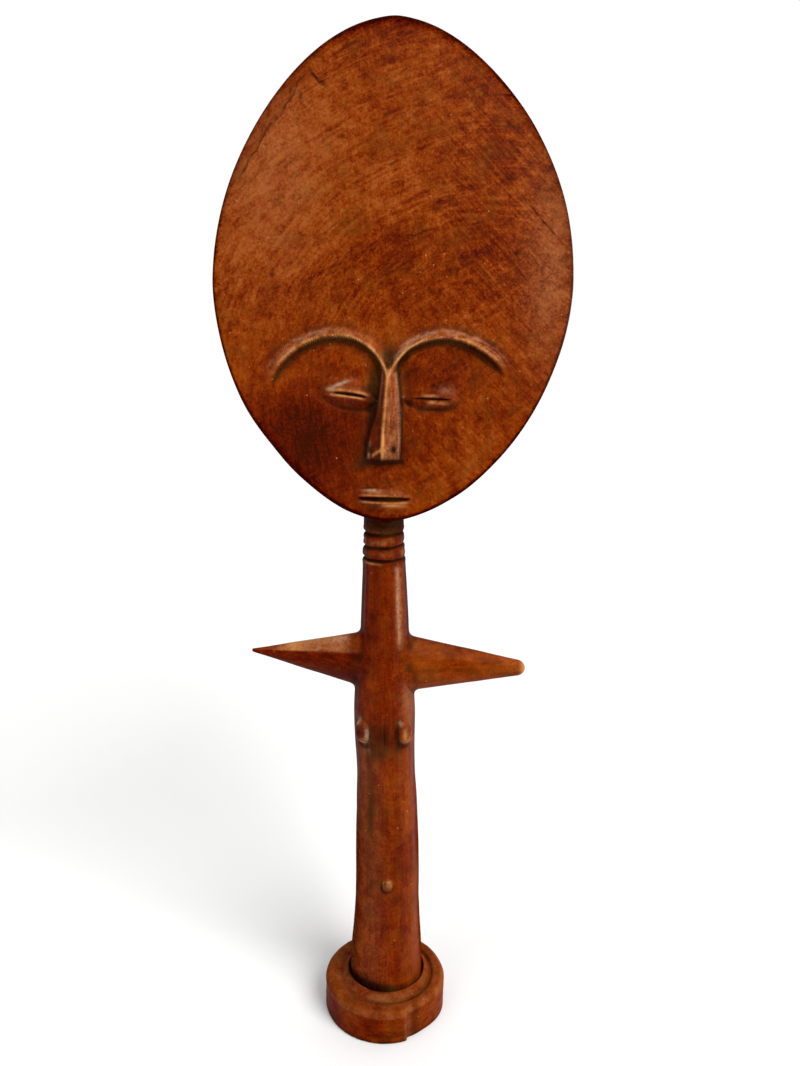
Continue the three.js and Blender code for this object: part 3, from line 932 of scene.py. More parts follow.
def brow_coat(u, v, brow):
    """A rubbed bevel with painted sheen, a golden band with a bright edge, painted shadow in the cut below,
    and darker marks round the brows.
    """
    d, along, left, streaks, specks = vars(brow).values()
    end = 1 - smooth(0.80, 1.0, along)
    tail = 1 - smooth(0.9, 1.0, along)
    edge = brow_underside(along)
    # Rubbed wood and painted sheen on the bevel.
    rub = 0.54 * smooth(2.8, 1.2, d) * (d > -0.3) * end * (0.10 + 0.90 * streaks)
    band = 0.30 * smooth(1.8, 0.7, d) * (d > -0.4) * streaks
    bright = 0.30 + 0.6 * specks + 0.6 * smooth(0.45, 0.15, along)
    worn = end * (band + bright * np.exp(-np.abs((d - 0.2) / 0.34) ** 3))
    # Pale dust and painted glints along the bevel's top.
    chalk = 0.34 * bell(d - 2.0, 0.6) * end * streaks * np.where(left, smooth(0.35, 0.6, along), 1)
    chalk += 0.5 * bell(d - 1.2, 0.5) * bell(along - 0.18, 0.13) * ~left
    dirt = 0.60 * bell(d - 3.5, 0.8) * end * smooth(0.1, 0.3, along) * (0.35 + 0.65 * specks)
    dirt += 0.60 * bell(d - 2.5, 0.8) * bell(along - 0.70, 0.25) * ~left * (1 - streaks)
    # Painted shadow in the cut under the ridge, and a soft painted shade below it.
    under = tail * np.minimum(1, smooth(2.4, 3.2, np.abs(u + 0.9)) + smooth(45.5, 47.5, v))
    cut = np.exp(-np.abs((d + edge * 0.72) / 0.40) ** 3)
    dirt += under * cut * np.where(left, 2.2, 1.4 + 0.7 * specks)
    dirt += under * 0.14 * smooth(-3.5, -0.9, d) * (d < -edge) * np.where(left, 0.2, streaks + 0.3)
    # Darker in the dip between the brows and beside the top of the nose.
    pocket = smooth(45.6, 47.5, v) * smooth(57, 50.5, v) * smooth(0.3, 1.2, d)
    dirt += 1.1 * pocket * bell(u + 0.9, 3.0)
    dirt += (d < 0) * spots(u, v, (0.8, -5.4, 44, 1.6, 6), (0.55, 4.2, 45, 1.2, 5))
    return dict(dirt=dirt, worn=worn, rub=rub, chalk=chalk)


def nose_coat(u, v, brow):
    """A bright ridge and tip, painted sheen on the right side and painted shade on the left side, painted
    glints by both edges, painted shadow to the left of the nose, and darker lines along both edges.
    """
    left_u, ridge_u, right_u, _, _ = nose_lines(v)
    from_left, from_ridge, from_right = u - left_u, u - ridge_u, u - right_u
    long = patches(np.stack([u * 2.4, v * 0.35], -1), -0.5, 0.5, 1.0, 72)
    tip = np.abs(v - 23.1 + 0.62 * np.abs(from_ridge)) + 3 * smooth(2.9, 3.7, np.abs(from_ridge))
    worn = (0.8 + 0.4 * smooth(34, 26, v)) * bell(from_ridge, 0.45)
    worn += 1.1 * bell(tip, 0.5) * (v < 24) * smooth(1.6, 0.2, from_ridge)
    # Painted sheen on the right side, taken off the left side.
    rub = smooth(0.3, 0.9, from_ridge) * smooth(0.6, -0.4, from_right) * (0.25 + 0.5 * long)
    rub -= 0.5 * smooth(0, -1, from_ridge)
    # Painted glints by the right edge and on the left wing.
    chalk = 0.40 * bell(from_right + 0.5, 0.4) * (0.5 + 0.5 * brow.streaks)
    chalk += bell(from_left - 0.7, 0.4) * (0.25 * smooth(33, 38, v) + 0.75 * bell(v - 22.3, 2.2))
    # Painted shadow beside the ridge and to the left of the nose, and darker lines along both edges.
    dirt = 0.5 * bell(from_ridge + 1.1, 0.55) + 0.6 * smooth(-4.4, 0, from_left) * (from_left < 0)
    dirt += bell(from_left + 0.3, 0.8) * (0.6 + smooth(28, 38, v)) * (0.7 + 0.3 * long)
    dirt += bell(from_right - 0.2, 0.5) * (0.35 + 0.6 * smooth(34, 42, v) + 0.3 * brow.specks)
    # Painted shade on the left side.
    tone = -0.12 * smooth(-0.2, -1.0, from_ridge) * smooth(-0.3, 0.6, from_left)
    return dict(tone=tone, dirt=dirt, worn=worn, rub=rub, chalk=chalk)


def left_eye_coat(u, v):
    """Golden lid edges, painted sheen on the upper lid, a painted glint over the eye's outer end, and
    painted shade under the lower lid's outer half.
    """
    _, slit, y, s = slit_mound(u, v, LEFT_EYE)
    edge = bell(y + LEFT_EYE.below * round_off(s) + 0.4, 0.9)
    # Dark in the slit, painted shade under the lower lid's outer half, and darker patches by the inner
    # corner.
    dirt = 2.6 * slit**0.8 + 0.8 * edge * smooth(1.1, 0.7, np.abs(s)) * smooth(-0.9, -0.2, s)
    dirt += spots(u, v, (0.6, -7.0, 41.3, 2.0, 1.4), (0.5, -5.0, 35, 1.6, 5))
    worn = 0.8 * bell(y + 0.75, 0.34) * smooth(0.75, 0.4, np.abs(s + 0.1))
    worn += 0.75 * bell(y - 1.0, 0.45) * smooth(0.95, 0.7, np.abs(s))
    # Painted sheen on the upper lid.
    rub = 0.8 * bell(y - 2.1, 1.0) * smooth(0.8, 0.4, np.abs(s + 0.1))
    # A painted glint across the upper lid's outer end.
    slant = (v - 42.6) - 0.38 * (u + 15.2)
    chalk = 0.95 * bell(slant, 0.55) * bell(u + 15.2, 2.6) + spots(u, v, (0.5, -17.8, 40.9, 1.5, 0.8))
    return dict(dirt=dirt, worn=worn, rub=rub, chalk=chalk)


def right_eye_coat(u, v):
    """Flatter than the left one, its edges broken up by wear, darker marks and painted glints."""
    _, slit, y, _ = slit_mound(u, v, RIGHT_EYE)
    # Dark in the slit, and darker under the eye and at its corners.
    dirt = 2.4 * slit**0.8 + bell(v - 35.3, 0.7) * smooth(6.5, 3.5, np.abs(u - 12.8))
    dirt += 0.6 * bell(y, 0.22) * smooth(2.2, 3.5, u) * smooth(9, 7, u)
    dirt += spots(u, v, (0.45, 6, 36.8, 2.6, 1.0), (0.6, 18.6, 36.6, 1.8, 1.3))
    worn = spots(
        u, v, (0.95, 11.9, 39.3, 1.8, 0.42), (0.95, 12.1, 37.3, 1.0, 0.5), (0.55, 15.3, 37.1, 2.0, 0.45)
    )
    # Painted glints above the outer end and by the inner corner.
    chalk = spots(u, v, (0.20, 16.5, 41, 2.2, 1.2), (0.5, 3.6, 38.9, 0.7, 0.4))
    return dict(dirt=dirt, worn=worn, chalk=chalk)


def mouth_coat(u, v):
    _, slit, y, s = slit_mound(u, v, MOUTH)
    # Dark in the slit, painted shade under the lower lip, and darker spots round the lips.
    dirt = 2.4 * slit + 0.45 * bell(y + 3.5, 0.8) * smooth(1.0, 0.6, np.abs(s))
    dirt += spots(
        u, v, (0.8, -6.6, 11.5, 2.3, 0.4), (0.35, 0.5, 12.8, 4.5, 1.3), (0.5, -4.2, 5.9, 1.4, 0.6)
    )
    worn = 0.75 * (bell(y + 1.05, 0.3) + 0.6 * bell(y - 1.1, 0.28)) * smooth(0.95, 0.7, np.abs(s))
    worn += spots(u, v, (0.95, 0.6, 6.1, 3.0, 0.5))
    # A painted glint and painted sheen on the upper lip.
    chalk = spots(u, v, (0.75, -5.6, 10.7, 2.2, 0.42))
    rub = 0.6 * bell(y - 2.0, 0.8) * smooth(0.9, 0.4, np.abs(s))
    return dict(dirt=dirt, worn=worn, rub=rub, chalk=chalk)


def plate_front_coat(u, v):
    """Painted shadow under the nose and to its lower left, darkness in the nostrils and the dents, and
    painted sheen by the rim.
    """
    dirt = 1.1 * bell(v - 19.3, 0.9) * smooth(7.4, 5.4, np.abs(u + 2.2))
    dirt += spots(
        u, v,
        (0.55, -9, 18.2, 4.0, 1.5),
        *[(1.2, nostril_u, nostril_v, 0.7, 1.3) for nostril_u, nostril_v in NOSTRILS],
        *[(0.7, dent_u, dent_v, radius, radius) for dent_u, dent_v, radius, _ in DENTS],
    )
    return {"dirt": dirt, "rub": spots(u, v, (0.50, 47, 78, 7, 26), (0.30, -36, 106, 13, 26))}


def paint_head(piece):
    points = points_of(piece)
    x, y, z = points.T
    u, v, w = world_to_head(points)
    front = smooth(-4.2, -2.6, w - crown_height(u, v))
    brow = brow_marks(u, v)
    on_nose = front * smooth(18.8, 20.5, v) * smooth(NOSE_TOP, 45, v)
    reach = egg_share(u, v)
    # Painted shade on the rim and in the angle under the chin, and darkening in the cuts and the neck's top
    # ring
    dirt = 0.25 * smooth(0.980, 0.998, reach) + 0.5 * smooth(-0.06, -0.25, relief(piece, 10))
    dirt += 0.35 * smooth(187, 182, z) * (1 - front) * smooth(176.5, 178.5, z)
    for ring in NECK_RINGS:
        dirt += bell(groove_reach(np.arctan2(x + 2, -y), z, ring)[0], 0.6) * (v < 1)
    # Painted shade darkens the tone along the rim, and paler rubbed colour, painted light, lifts the chin's
    # shadow on the neck part below the face.
    whole = {
        "tone": face_stain_and_light(u, v) - 0.60 * smooth(0.975, 0.993, reach),
        "dirt": dirt,
        "rub": 0.22 * smooth(2, -1, v) * (1 - front),
        "dull": np.maximum(smooth(0.93, 0.985, reach), 1 - front) * 0.9,
    }
    coats = [(front, coat(u, v)) for coat in (left_eye_coat, right_eye_coat, mouth_coat, plate_front_coat)]
    coats.append(((v < FACE_TOP) * front, brow_coat(u, v, brow)))
    paint_coat(piece, (1, whole), (on_nose, nose_coat(u, v, brow)), *coats)
    paint(piece, "face", front)


def root_darkening(points):
    """Darkening in the angle between an arm and the trunk, over both pieces."""
    x, y, z = points.T
    total = np.zeros(len(points))
    for side, (root_x, root_z, root_radius), _, _ in ARMS.values():
        ring = np.hypot((z - root_z) / root_radius, y / (root_radius * ARM_FLATNESS * 1.6))
        total += smooth(3.0, 0.4, np.abs(x - root_x + side)) * bell(ring - 0.70, 0.45)
    return total * smooth(3, -1, y) * patches(points, -0.5, 0.5, 3.2, 68)


# Stain tone with painted light: lighter down the right side and in a pale strip on the neck, with painted
# shade beyond the strip and at both edges.
def column_stain_and_light(points, z, right, front, on_neck):
    tone = 0.38 + bumps(points, (0.06, 18, 63, 1), (0.10, 2.2, 73, [1, 1, 0.12]))
    tone += 0.08 * front * smooth(-0.3, -0.7, right) * smooth(112, 100, z)
    tone += 0.18 * front * smooth(0.45, 0.75, right) * smooth(128, 118, z)
    tone -= front * spots(right, z, (0.10, -0.1, 127, 0.5, 14))
    tone += front * on_neck * (0.2 * bell(right - 0.6, 0.22) - 0.15 * smooth(0.8, 0.95, right))
    return tone - front * (0.22 * smooth(-0.70, -0.95, right) + 0.2 * smooth(0.88, 0.99, right))


def column_dirt_and_shade(points, z, right, front, facing):
    """Dirt under and between the breasts and round the navel, painted shade down the left edge and round
    the foot, and darkening where the arms join.
    """
    streaky = 0.45 + 0.55 * patches(points * [1, 1, 0.12], -0.2, 0.5, 1.6, 65)
    smudges = spots(
        right, z,
        (0.75, -0.20, 102.5, 0.55, 3.2), (0.55, 0.55, 104, 0.3, 2.2),
        (0.60, -0.15, 54, 0.14, 4), (0.50, 0.25, 48.5, 0.22, 3.5),
    )
    smudges += 0.65 * bell(right + 0.50, 0.13) * smooth(106, 98, z) * smooth(30, 60, z)
    smudges += 0.25 * bell(right + 0.74, 0.08) * smooth(104, 94, z) * smooth(50, 75, z)
    smudges += 0.35 * bell(right + 0.1, 0.5) * smooth(58, 70, z) * smooth(98, 84, z) * streaky
    dirt = front * (smudges * streaky + spots(right, z, (0.80, -0.08, 109, 0.42, 5)))
    dirt += 0.30 * front * smooth(-0.80, -0.98, right)
    dirt += spots(facing, z, (0.9, 0.42, 109, 0.08, 2.6), (0.9, -0.42, 105, 0.09, 0.9))
    # Painted shade round the foot, deepest at the front left.
    shade = 1.6 + 3.0 * smooth(0.5, -0.4, right) * smooth(-1.0, -0.7, right)
    foot = smooth(COLLAR_TOP + shade, COLLAR_TOP + 0.6, z)
    return dirt + (0.5 + 0.5 * smooth(0.5, 0.0, right)) * foot + 0.6 * root_darkening(points)


def knob_coat(points, turn, z, knob, wear_from, wear_at):
    """A dark top, painted shadow round the foot of a knob, deepest on its lower left, and wear on part of
    its edge.
    """
    across, up = knob_place(turn, z, knob)
    reach = (np.abs(across) ** 2.4 + np.abs(up) ** 2.4) ** (1 / 2.4)
    around = np.arctan2(up, across)
    edge = bell(reach - 0.78, 0.22) * patches(points, -0.6, 0.3, 1.5, 69)
    return {
        "tone": -0.20 * smooth(0.75, 0.45, reach),
        "worn": wear_at * edge * (0.5 + 0.5 * np.cos(around - wear_from)) ** 3,
        "dirt": 0.75 * bell(reach - 1.2, 0.2) * (0.5 + 0.5 * np.cos(around + 2.0)),
    }


def ring_coat(points, turn, z, ring):
    """Darkening in a neck ring's groove, and rubbed wood with painted sheen above it. The lowest is also
    worn below.
    """
    above, _ = groove_reach(turn, z, ring)
    right = np.sin(turn)
    return {
        "dirt": 1.7 * (0.65 + 0.35 * smooth(0.6, -0.2, right)) * bell(above, 0.50),
        "worn": 0.5 * bell(above + 0.95, 0.35) * smooth(0.1, -0.5, right) * (ring is NECK_RINGS[2]),
        "rub": 0.5 * bell(above - 1.9, 0.9) * patches(points, -0.5, 0.5, 2.4, 74),
    }


def paint_column(piece):
    points = points_of(piece)
    z = points[:, 2]
    turn, _ = about_trunk(points)
    right = np.sin(turn)
    front = smooth(-0.3, 0.2, np.cos(turn))
    facing = np.where(np.cos(turn) > -0.05, right, 4.0)  # as right, and out of reach at the back
    on_neck = smooth(136, 144, z) * smooth(167, 163, z)
    # A painted reflection in a strip down the neck's right front.
    pale_neck = on_neck * front * bell(right - 0.60, 0.07)
    whole = {
        "tone": column_stain_and_light(points, z, right, front, on_neck)
        + spots(facing, z, (0.15, 0.15, 84, 0.4, 10), (0.3, 0.62, 107.5, 0.16, 2.6)),
        "dirt": column_dirt_and_shade(points, z, right, front, facing)
        + 0.5 * smooth(-0.06, -0.2, relief(piece, 8)),
        "worn": spots(
            facing, z,
            (0.6, 0.78, 105.4, 0.08, 0.6), (0.5, 0.62, 109, 0.06, 2.2), (0.5, 0.05, 54.8, 0.10, 1.5),
        ),
        # Painted sheen on the neck's strip and on the right side, and paler rubbed colour low on the left.
        "rub": 1.1 * on_neck * front * bell(right - 0.62, 0.13)
        + front * spots(right, z, (0.5, 0.78, 120, 0.2, 7))
        + 0.16 * front * smooth(0.3, -0.6, right) * smooth(112, 100, z),
        # Painted glints in the neck's strip and about the breasts.
        "chalk": 0.55 * pale_neck * patches(points * [1, 1, 0.15], -0.5, 0.5, 1.2, 71)
        + spots(
            facing, z,
            (1.0, -0.76, 113, 0.07, 1.0), (0.7, 0.52, 113, 0.05, 0.9), (0.9, -0.50, 109, 0.045, 2.2),
            (0.35, -0.55, 103.5, 0.08, 2.0), (0.6, -0.62, 105.8, 0.10, 0.7), (0.5, 0.74, 105.9, 0.10, 0.6),
        ),
        "dull": 0.45 + 0.35 * smooth(-0.35, -0.85, right) + 0.2 * smooth(110, 60, z)
        + 0.35 * smooth(0.84, 0.97, right),
    }
    wear = ((BREASTS[0], -0.7, 0.8), (BREASTS[1], -0.5, 0.55), (NAVEL, 1.9, 0.9))
    coats = [(1, knob_coat(points, turn, z, *row)) for row in wear]
    coats += [(1, ring_coat(points, turn, z, ring)) for ring in NECK_RINGS]
    paint_coat(piece, (1, whole), *coats)


def paint_arm(piece, node):
    points = points_of(piece)
    side, (root_x, _, _), (tip_x, _, _), _ = ARMS[node]
    share = np.clip((points[:, 0] - root_x) / (tip_x - root_x), -1, 1)
    off_trunk = smooth(-0.05, 0.12, share)
    facing_up = read_vectors(piece, "normal")[:, 2]
    upper = smooth(0.25, 0.55, facing_up)
    along = points * [0.3, 1, 1]
    # Painted shade on the underside, darkening at the root, and dirt along the arm.
    dirt = 0.8 * root_darkening(points) + 0.25 * smooth(-0.3, -0.8, facing_up)
    dirt += 0.3 * patches(along, 0.1, 0.6, 2.0, 75) * off_trunk
    # The left arm is lighter on its upward facet, with painted sheen and glints there; the right one is
    # darker there: painted light and shade by facing.
    if side < 0:
        wear = {
            "tone": 0.23 + 0.20 * upper,
            "rub": upper * smooth(-0.02, 0.15, share) * smooth(0.9, 0.55, share),
            "worn": 0.5 * upper * bell(share - 0.62, 0.1),
            "chalk": 0.5 * patches(along, -0.3, 0.5, 1.6, 76) * upper * bell(share - 0.32, 0.28),
        }
    else:
        wear = {
            "tone": 0.40 + (0.22 - 0.12 * upper) * off_trunk,
            "rub": 0.1 * upper,
            "worn": 0.9 * smooth(0.93, 0.99, share),
        }
    paint_coat(piece, (1, wear), (1, dict(dirt=dirt, dull=0.65 - 0.4 * upper)))


def paint_base(piece):
    points = points_of(piece)
    x, y, z = points.T
    radius = np.hypot(x - trunk_centre(12), y)
    turn = np.arctan2(x, -y)
    top = smooth(BASE_HIGH[2] - 3.6, BASE_HIGH[2] - 2.6, z)
    wall = 1 - top
    patchy = patches(points, -0.6, 0.5, 4.0, 70)
    # Painted light: lighter to the right, over the top and along the top edge; also lighter on the left of
    # the top and in a band low on the front.
    tone = 0.39 + 0.12 * smooth(0.3, 1.0, turn) * (turn < 2.4) + 0.10 * top
    tone += 0.20 * top * smooth(-0.2, -1.0, turn) * smooth(15.5, 17, radius)
    tone += 0.16 * bell(radius - 20.0, 1.0) * smooth(-2.4, -1.2, z - BASE_TOP)
    tone += 0.16 * bell(z - 1.8, 1.2) * smooth(0.6, 0.0, np.abs(turn))
    # Painted shadow round the foot, widest at the front left; darker in the crease at the collar's edge,
    # most to the right.
    lip = FOOT_RADIUS + 0.8 + 1.3 * patchy * smooth(0.6, -0.6, turn)
    dirt = top * (0.85 * smooth(lip, FOOT_RADIUS + 0.1, radius) + 0.14 * patchy)
    dirt += (0.12 + 0.75 * smooth(0.1, 0.9, turn)) * bell(radius - COLLAR - 0.5, 0.9) * top
    # Painted shade beside the step cut; darker towards the bottom and low on the front and left of the
    # wall.
    dirt += 0.55 * wall * bell(turn - STEP_FROM - 0.17, 0.08) + 0.6 * smooth(1.8, 0, z)
    dirt += 0.40 * wall * patchy * smooth(7, 3, z) * smooth(0.9, 0.1, turn)
    # Painted sheen on the collar and over the top, and painted light on the step's face.
    rub = 0.40 * bell(radius - FOOT_RADIUS - 2.1, 0.9) * top * patchy * smooth(1.3, 0.2, turn)
    rub += 0.16 * top + 0.35 * wall * bell(turn - STEP_FROM - 0.04, 0.06)
    worn = 0.12 * smooth(0.05, 0.16, relief(piece, 8))
    paint_coat(piece, (1, dict(tone=tone, dirt=dirt, worn=worn, rub=rub, dull=0.85)))


# ---- Wood material ----

# How much darker the stain is than it looks on screen, for the strength of the lights
STAIN_STRENGTH = 0.70


def srgb(*levels):
    """A screen colour, 0 to 255, as the linear colour that shaders use."""
    shares = [level / 255 for level in levels]
    linear = [s / 12.92 if s <= 0.04045 else ((s + 0.055) / 1.055) ** 2.4 for s in shares]
    return [STAIN_STRENGTH * value for value in linear] + [1.0]


class Graph:
    """Adds shader nodes to a material or world. An input is a plain value or a node's output."""

    def __init__(self, owner):
        owner.use_nodes = True
        self.tree = owner.node_tree
        self.object_place = self.add("TexCoord").outputs["Object"]

    def set(self, node, key, value):
        if isinstance(value, bpy.types.NodeSocket):
            self.tree.links.new(value, node.inputs[key])
        else:
            node.inputs[key].default_value = value

    def add(self, kind, inputs=(), **settings):
        node = self.tree.nodes.new(f"ShaderNode{kind}")
        for key, value in settings.items():
            setattr(node, key, value)
        for key, value in dict(inputs).items():
            self.set(node, key, value)
        return node

    def maths(self, operation, a, b=0.0, c=0.0):
        return self.add("Math", {0: a, 1: b, 2: c}, operation=operation).outputs[0]

    def times(self, first, *others):
        for other in others:
            first = self.maths("MULTIPLY", first, other)
        return first

    def clamp(self, value):
        return self.add("Clamp", {"Value": value}).outputs[0]

    def painted(self, name):
        return self.add("Attribute", attribute_name=name).outputs["Fac"]

    def split(self, place):
        return self.add("SeparateXYZ", {0: place}).outputs

    def span(self, value, low, high, to_low=0.0, to_high=1.0):
        inputs = {"Value": value, "From Min": low, "From Max": high, "To Min": to_low, "To Max": to_high}
        return self.add("MapRange", inputs, interpolation_type="SMOOTHSTEP").outputs["Result"]

    def plus(self, value, amount, other):
        """value + amount * other"""
        return self.maths("MULTIPLY_ADD", other, amount, value)

    def vary(self, value, noise, amount):
        """Adds noise, which lies about 0.5, to a value."""
        return self.plus(value, amount, self.maths("SUBTRACT", noise, 0.5))

    def mapped(self, origin, turn, scale):
        """Object coordinates from an origin, turned about the y axis and divided by a scale."""
        inputs = {"Vector": self.object_place, "Location": origin, "Rotation": (0, turn, 0), "Scale": scale}
        return self.add("Mapping", inputs, vector_type="TEXTURE").outputs["Vector"]

    def stretched(self, size_mm, turn_degrees=0.0):
        """Object coordinates divided by a size along x, y and z, turned about the y axis."""
        return self.mapped((0, 0, 0), -math.radians(turn_degrees), [length * MM for length in size_mm])

    def noise(self, size_mm, turn_degrees=0.0, detail=2.0, roughness=0.5, distortion=0.0):
        """Noise about 0.5 with lumps of the given size."""
        return self.noise_at(self.stretched(size_mm, turn_degrees), detail, roughness, distortion)

    def noise_at(self, place, detail, roughness, distortion):
        inputs = {"Vector": place, "Scale": 1.0, "Detail": detail, "Roughness": roughness}
        return self.add("TexNoise", {**inputs, "Distortion": distortion}).outputs["Fac"]

    def dots(self, size_mm):
        """Distance to the nearest of some scattered dots."""
        place = self.stretched((size_mm, size_mm, size_mm))
        return self.add("TexVoronoi", {"Vector": place, "Scale": 1.0}).outputs["Distance"]

    def round_strokes(self, middle_x, middle_z, length_mm, width_mm):
        """Noise drawn out along circles about a point of the face."""
        place = self.split(self.object_place)
        x = self.maths("SUBTRACT", place["X"], middle_x * MM)
        z = self.maths("SUBTRACT", place["Z"], middle_z * MM)
        radius = self.maths("SQRT", self.maths("MULTIPLY_ADD", x, x, self.times(z, z)))
        along = self.times(self.maths("ARCTAN2", z, x), 50 / length_mm)
        out = self.maths("DIVIDE", radius, width_mm * MM)
        return self.noise_at(self.add("CombineXYZ", {0: along, 1: out}).outputs[0], 3.0, 0.62, 0.3)

    def mix(self, share, first, second):
        node = self.add("Mix", data_type="RGBA")
        self.set(node, 0, share)
        self.set(node, 6, first)
        self.set(node, 7, second)
        return node.outputs[2]

    def ramp(self, value, stops):
        node = self.add("ValToRGB", {"Fac": value})
        points = node.color_ramp.elements
        while len(points) < len(stops):
            points.new(0.5)
        for point, (place, colour) in zip(points, stops):
            point.position = place
            point.color = colour
        return node.outputs["Color"]


BLACKISH = srgb(48, 4, 0)
DEEP = srgb(82, 9, 0)
RED_BROWN = srgb(112, 30, 0)
ORANGE_BROWN = srgb(144, 57, 3)
PALE = srgb(170, 88, 34)
OLIVE_BROWN = srgb(106, 56, 8)
# Pinkish rubbed wood and painted sheen; golden wear; grey-white dust and painted glints; near-black dirt
# and painted shade:
RUBBED_SHEEN = srgb(172, 106, 64)
WORN = srgb(228, 158, 92)
DUST_AND_GLINT = srgb(198, 166, 134)
DIRT_AND_SHADE = srgb(20, 6, 1)
SMEAR = srgb(80, 27, 3)
OLIVE = srgb(50, 34, 12)


# Old scratches and cracks on the forehead: their two ends (x, z), width, waviness and darkness
FACE_LINES = [
    ((-25.2, 312), (-48.5, 277), 0.28, 2.6, 0.55),
    ((-33.5, 311), (-40.5, 288), 0.25, 2.0, 0.35),
    ((-26.0, 312.5), (-18.5, 306), 0.4, 1.0, 0.75),
    ((35.6, 279.5), (51.5, 262.5), 0.22, 1.0, 0.75),
    ((16.4, 282.4), (25.5, 276.5), 0.2, 1.2, 0.5),
    ((27.5, 266), (41, 252), 0.2, 1.0, 0.55),
    ((31, 271), (45, 256), 0.16, 1.0, 0.45),
    ((1.5, 300), (28.5, 309), 0.2, 1.6, 0.4),
    ((-14, 279), (12, 292), 0.2, 2.0, 0.45),
    ((-3, 263.5), (14, 268), 0.3, 2.4, 0.5),
]


def face_marks(g):
    """The lines of FACE_LINES: how dark each point is, and how far it is sunk beside the crack."""
    wave = g.maths("SUBTRACT", g.noise((5, 5, 5), detail=4.0, roughness=0.55), 0.5)
    ragged = g.noise((1.6, 1.6, 1.6), detail=3.0)
    broken = g.span(g.noise((2.5, 2.5, 2.5)), 0.40, 0.60, 0.35, 1.0)
    total = sunk = None
    for (x0, z0), (x1, z1), width, waviness, darkness in FACE_LINES:
        length = math.hypot(x1 - x0, z1 - z0)
        place = g.split(g.mapped((x0 * MM, 0, z0 * MM), -math.atan2(z1 - z0, x1 - x0), (MM, MM, MM)))
        across = g.maths("MULTIPLY_ADD", wave, waviness * 2, place["Z"])
        outer = g.times(ragged, width * 4)
        near = g.span(g.maths("ABSOLUTE", across), outer, g.times(outer, 0.2))
        middle = g.maths("ABSOLUTE", g.maths("SUBTRACT", place["X"], length / 2))
        within = g.span(middle, length / 2, length / 2 - 3)
        mark = g.times(near, within, darkness)
        if sunk is None:
            sunk = g.times(g.span(across, 0.3, -0.3), within, g.painted("face"))
        total = mark if total is None else g.maths("MAXIMUM", total, mark)
    return g.times(total, broken, g.painted("face")), sunk


def wood_noises(g, grain_mm, grain_turn, brushed):
    """The noises that a piece's stain, wear and finish share."""
    noises = SimpleNamespace(
        mottle=g.noise((3.6, 3.6, 3.6), detail=5.0, roughness=0.7),
        fine=g.noise((0.8, 0.8, 0.8), detail=3.0, roughness=0.75),
        cloud=g.noise((15, 15, 15), detail=3.0, roughness=0.6, distortion=0.6),
        grain=g.noise(grain_mm, grain_turn, detail=4.0, roughness=0.65),
    )
    if brushed:
        place = g.split(g.object_place)
        noises.brow_up = g.span(place["Z"], 0.228, 0.250, 0.6, 1.0)
        noises.to_right = g.span(place["X"], 0.0, 0.03)
        noises.strokes = g.round_strokes(32, 216, 9, 1.3)
    return noises


def brushed_tone(g, n, tone):
    """Mottling, and brush strokes that cross each other, strongest from the brows up."""
    straight = g.noise((16, 8, 1.3), 30, detail=4.0, roughness=0.7)
    scratches = g.noise((14, 8, 0.7), -46, detail=3.0, roughness=0.65)
    patchy = g.span(g.noise((9, 9, 9), detail=2.0), 0.38, 0.62)
    fresh = g.span(g.noise((12, 12, 7), 35, detail=3.0), 0.40, 0.58, 0.25, 1.0)
    tone = g.vary(tone, n.mottle, g.span(g.painted("tone"), 0.1, 0.5, 0.45, 1.2))
    tone = g.vary(tone, n.fine, g.times(n.brow_up, 1.2))
    tone = g.vary(tone, n.strokes, g.times(fresh, n.brow_up, 1.2))
    tone = g.vary(tone, straight, g.times(patchy, n.brow_up))
    return g.vary(tone, scratches, g.times(n.to_right, g.times(n.brow_up, 1.2)))


def stain_colour(g, n, brushed):
    """Stain from near black to pale brown, with streaks, mottling and older olive patches."""
    tone = g.vary(g.painted("tone"), n.cloud, g.span(g.painted("tone"), 0.15, 0.5, 0.2, 0.7))
    if brushed:
        tone = brushed_tone(g, n, tone)
    else:
        tone = g.vary(g.vary(tone, n.mottle, 0.7), n.fine, 0.6)
    stops = [(0.0, BLACKISH), (0.14, DEEP), (0.36, RED_BROWN), (0.62, ORANGE_BROWN), (1.0, PALE)]
    colour = g.ramp(g.clamp(g.vary(tone, n.grain, 0.45)), stops)
    aged = g.span(g.noise((8, 8, 8), detail=4.0, roughness=0.7, distortion=0.4), 0.48, 0.66, 0.0, 0.4)
    return g.mix(g.times(aged, g.span(g.painted("tone"), 0.15, 0.5)), colour, OLIVE_BROWN)


def worn_colour(g, n, colour):
    """Rubbed wood with painted sheen, golden wear, pale dust with painted glints, and dirt and painted
    shade over them, as painted on the piece.
    """
    crumbs = g.times(g.span(n.mottle, 0.35, 0.62, 0.5, 1.2), g.span(n.fine, 0.35, 0.65, 0.6, 1.2))
    grime_and_shade = g.mix(g.span(n.cloud, 0.42, 0.6), DIRT_AND_SHADE, OLIVE)
    for layer, breaks, over in (
        ("rub", crumbs, RUBBED_SHEEN),
        ("worn", g.span(n.mottle, 0.36, 0.58, 0.35, 1.0), WORN),
        ("chalk", g.span(n.fine, 0.35, 0.6, 0.4, 1.0), DUST_AND_GLINT),
        ("dirt", g.span(n.fine, 0.3, 0.6, 0.7, 1.0), grime_and_shade),
    ):
        colour = g.mix(g.clamp(g.times(g.painted(layer), breaks)), colour, over)
    return colour


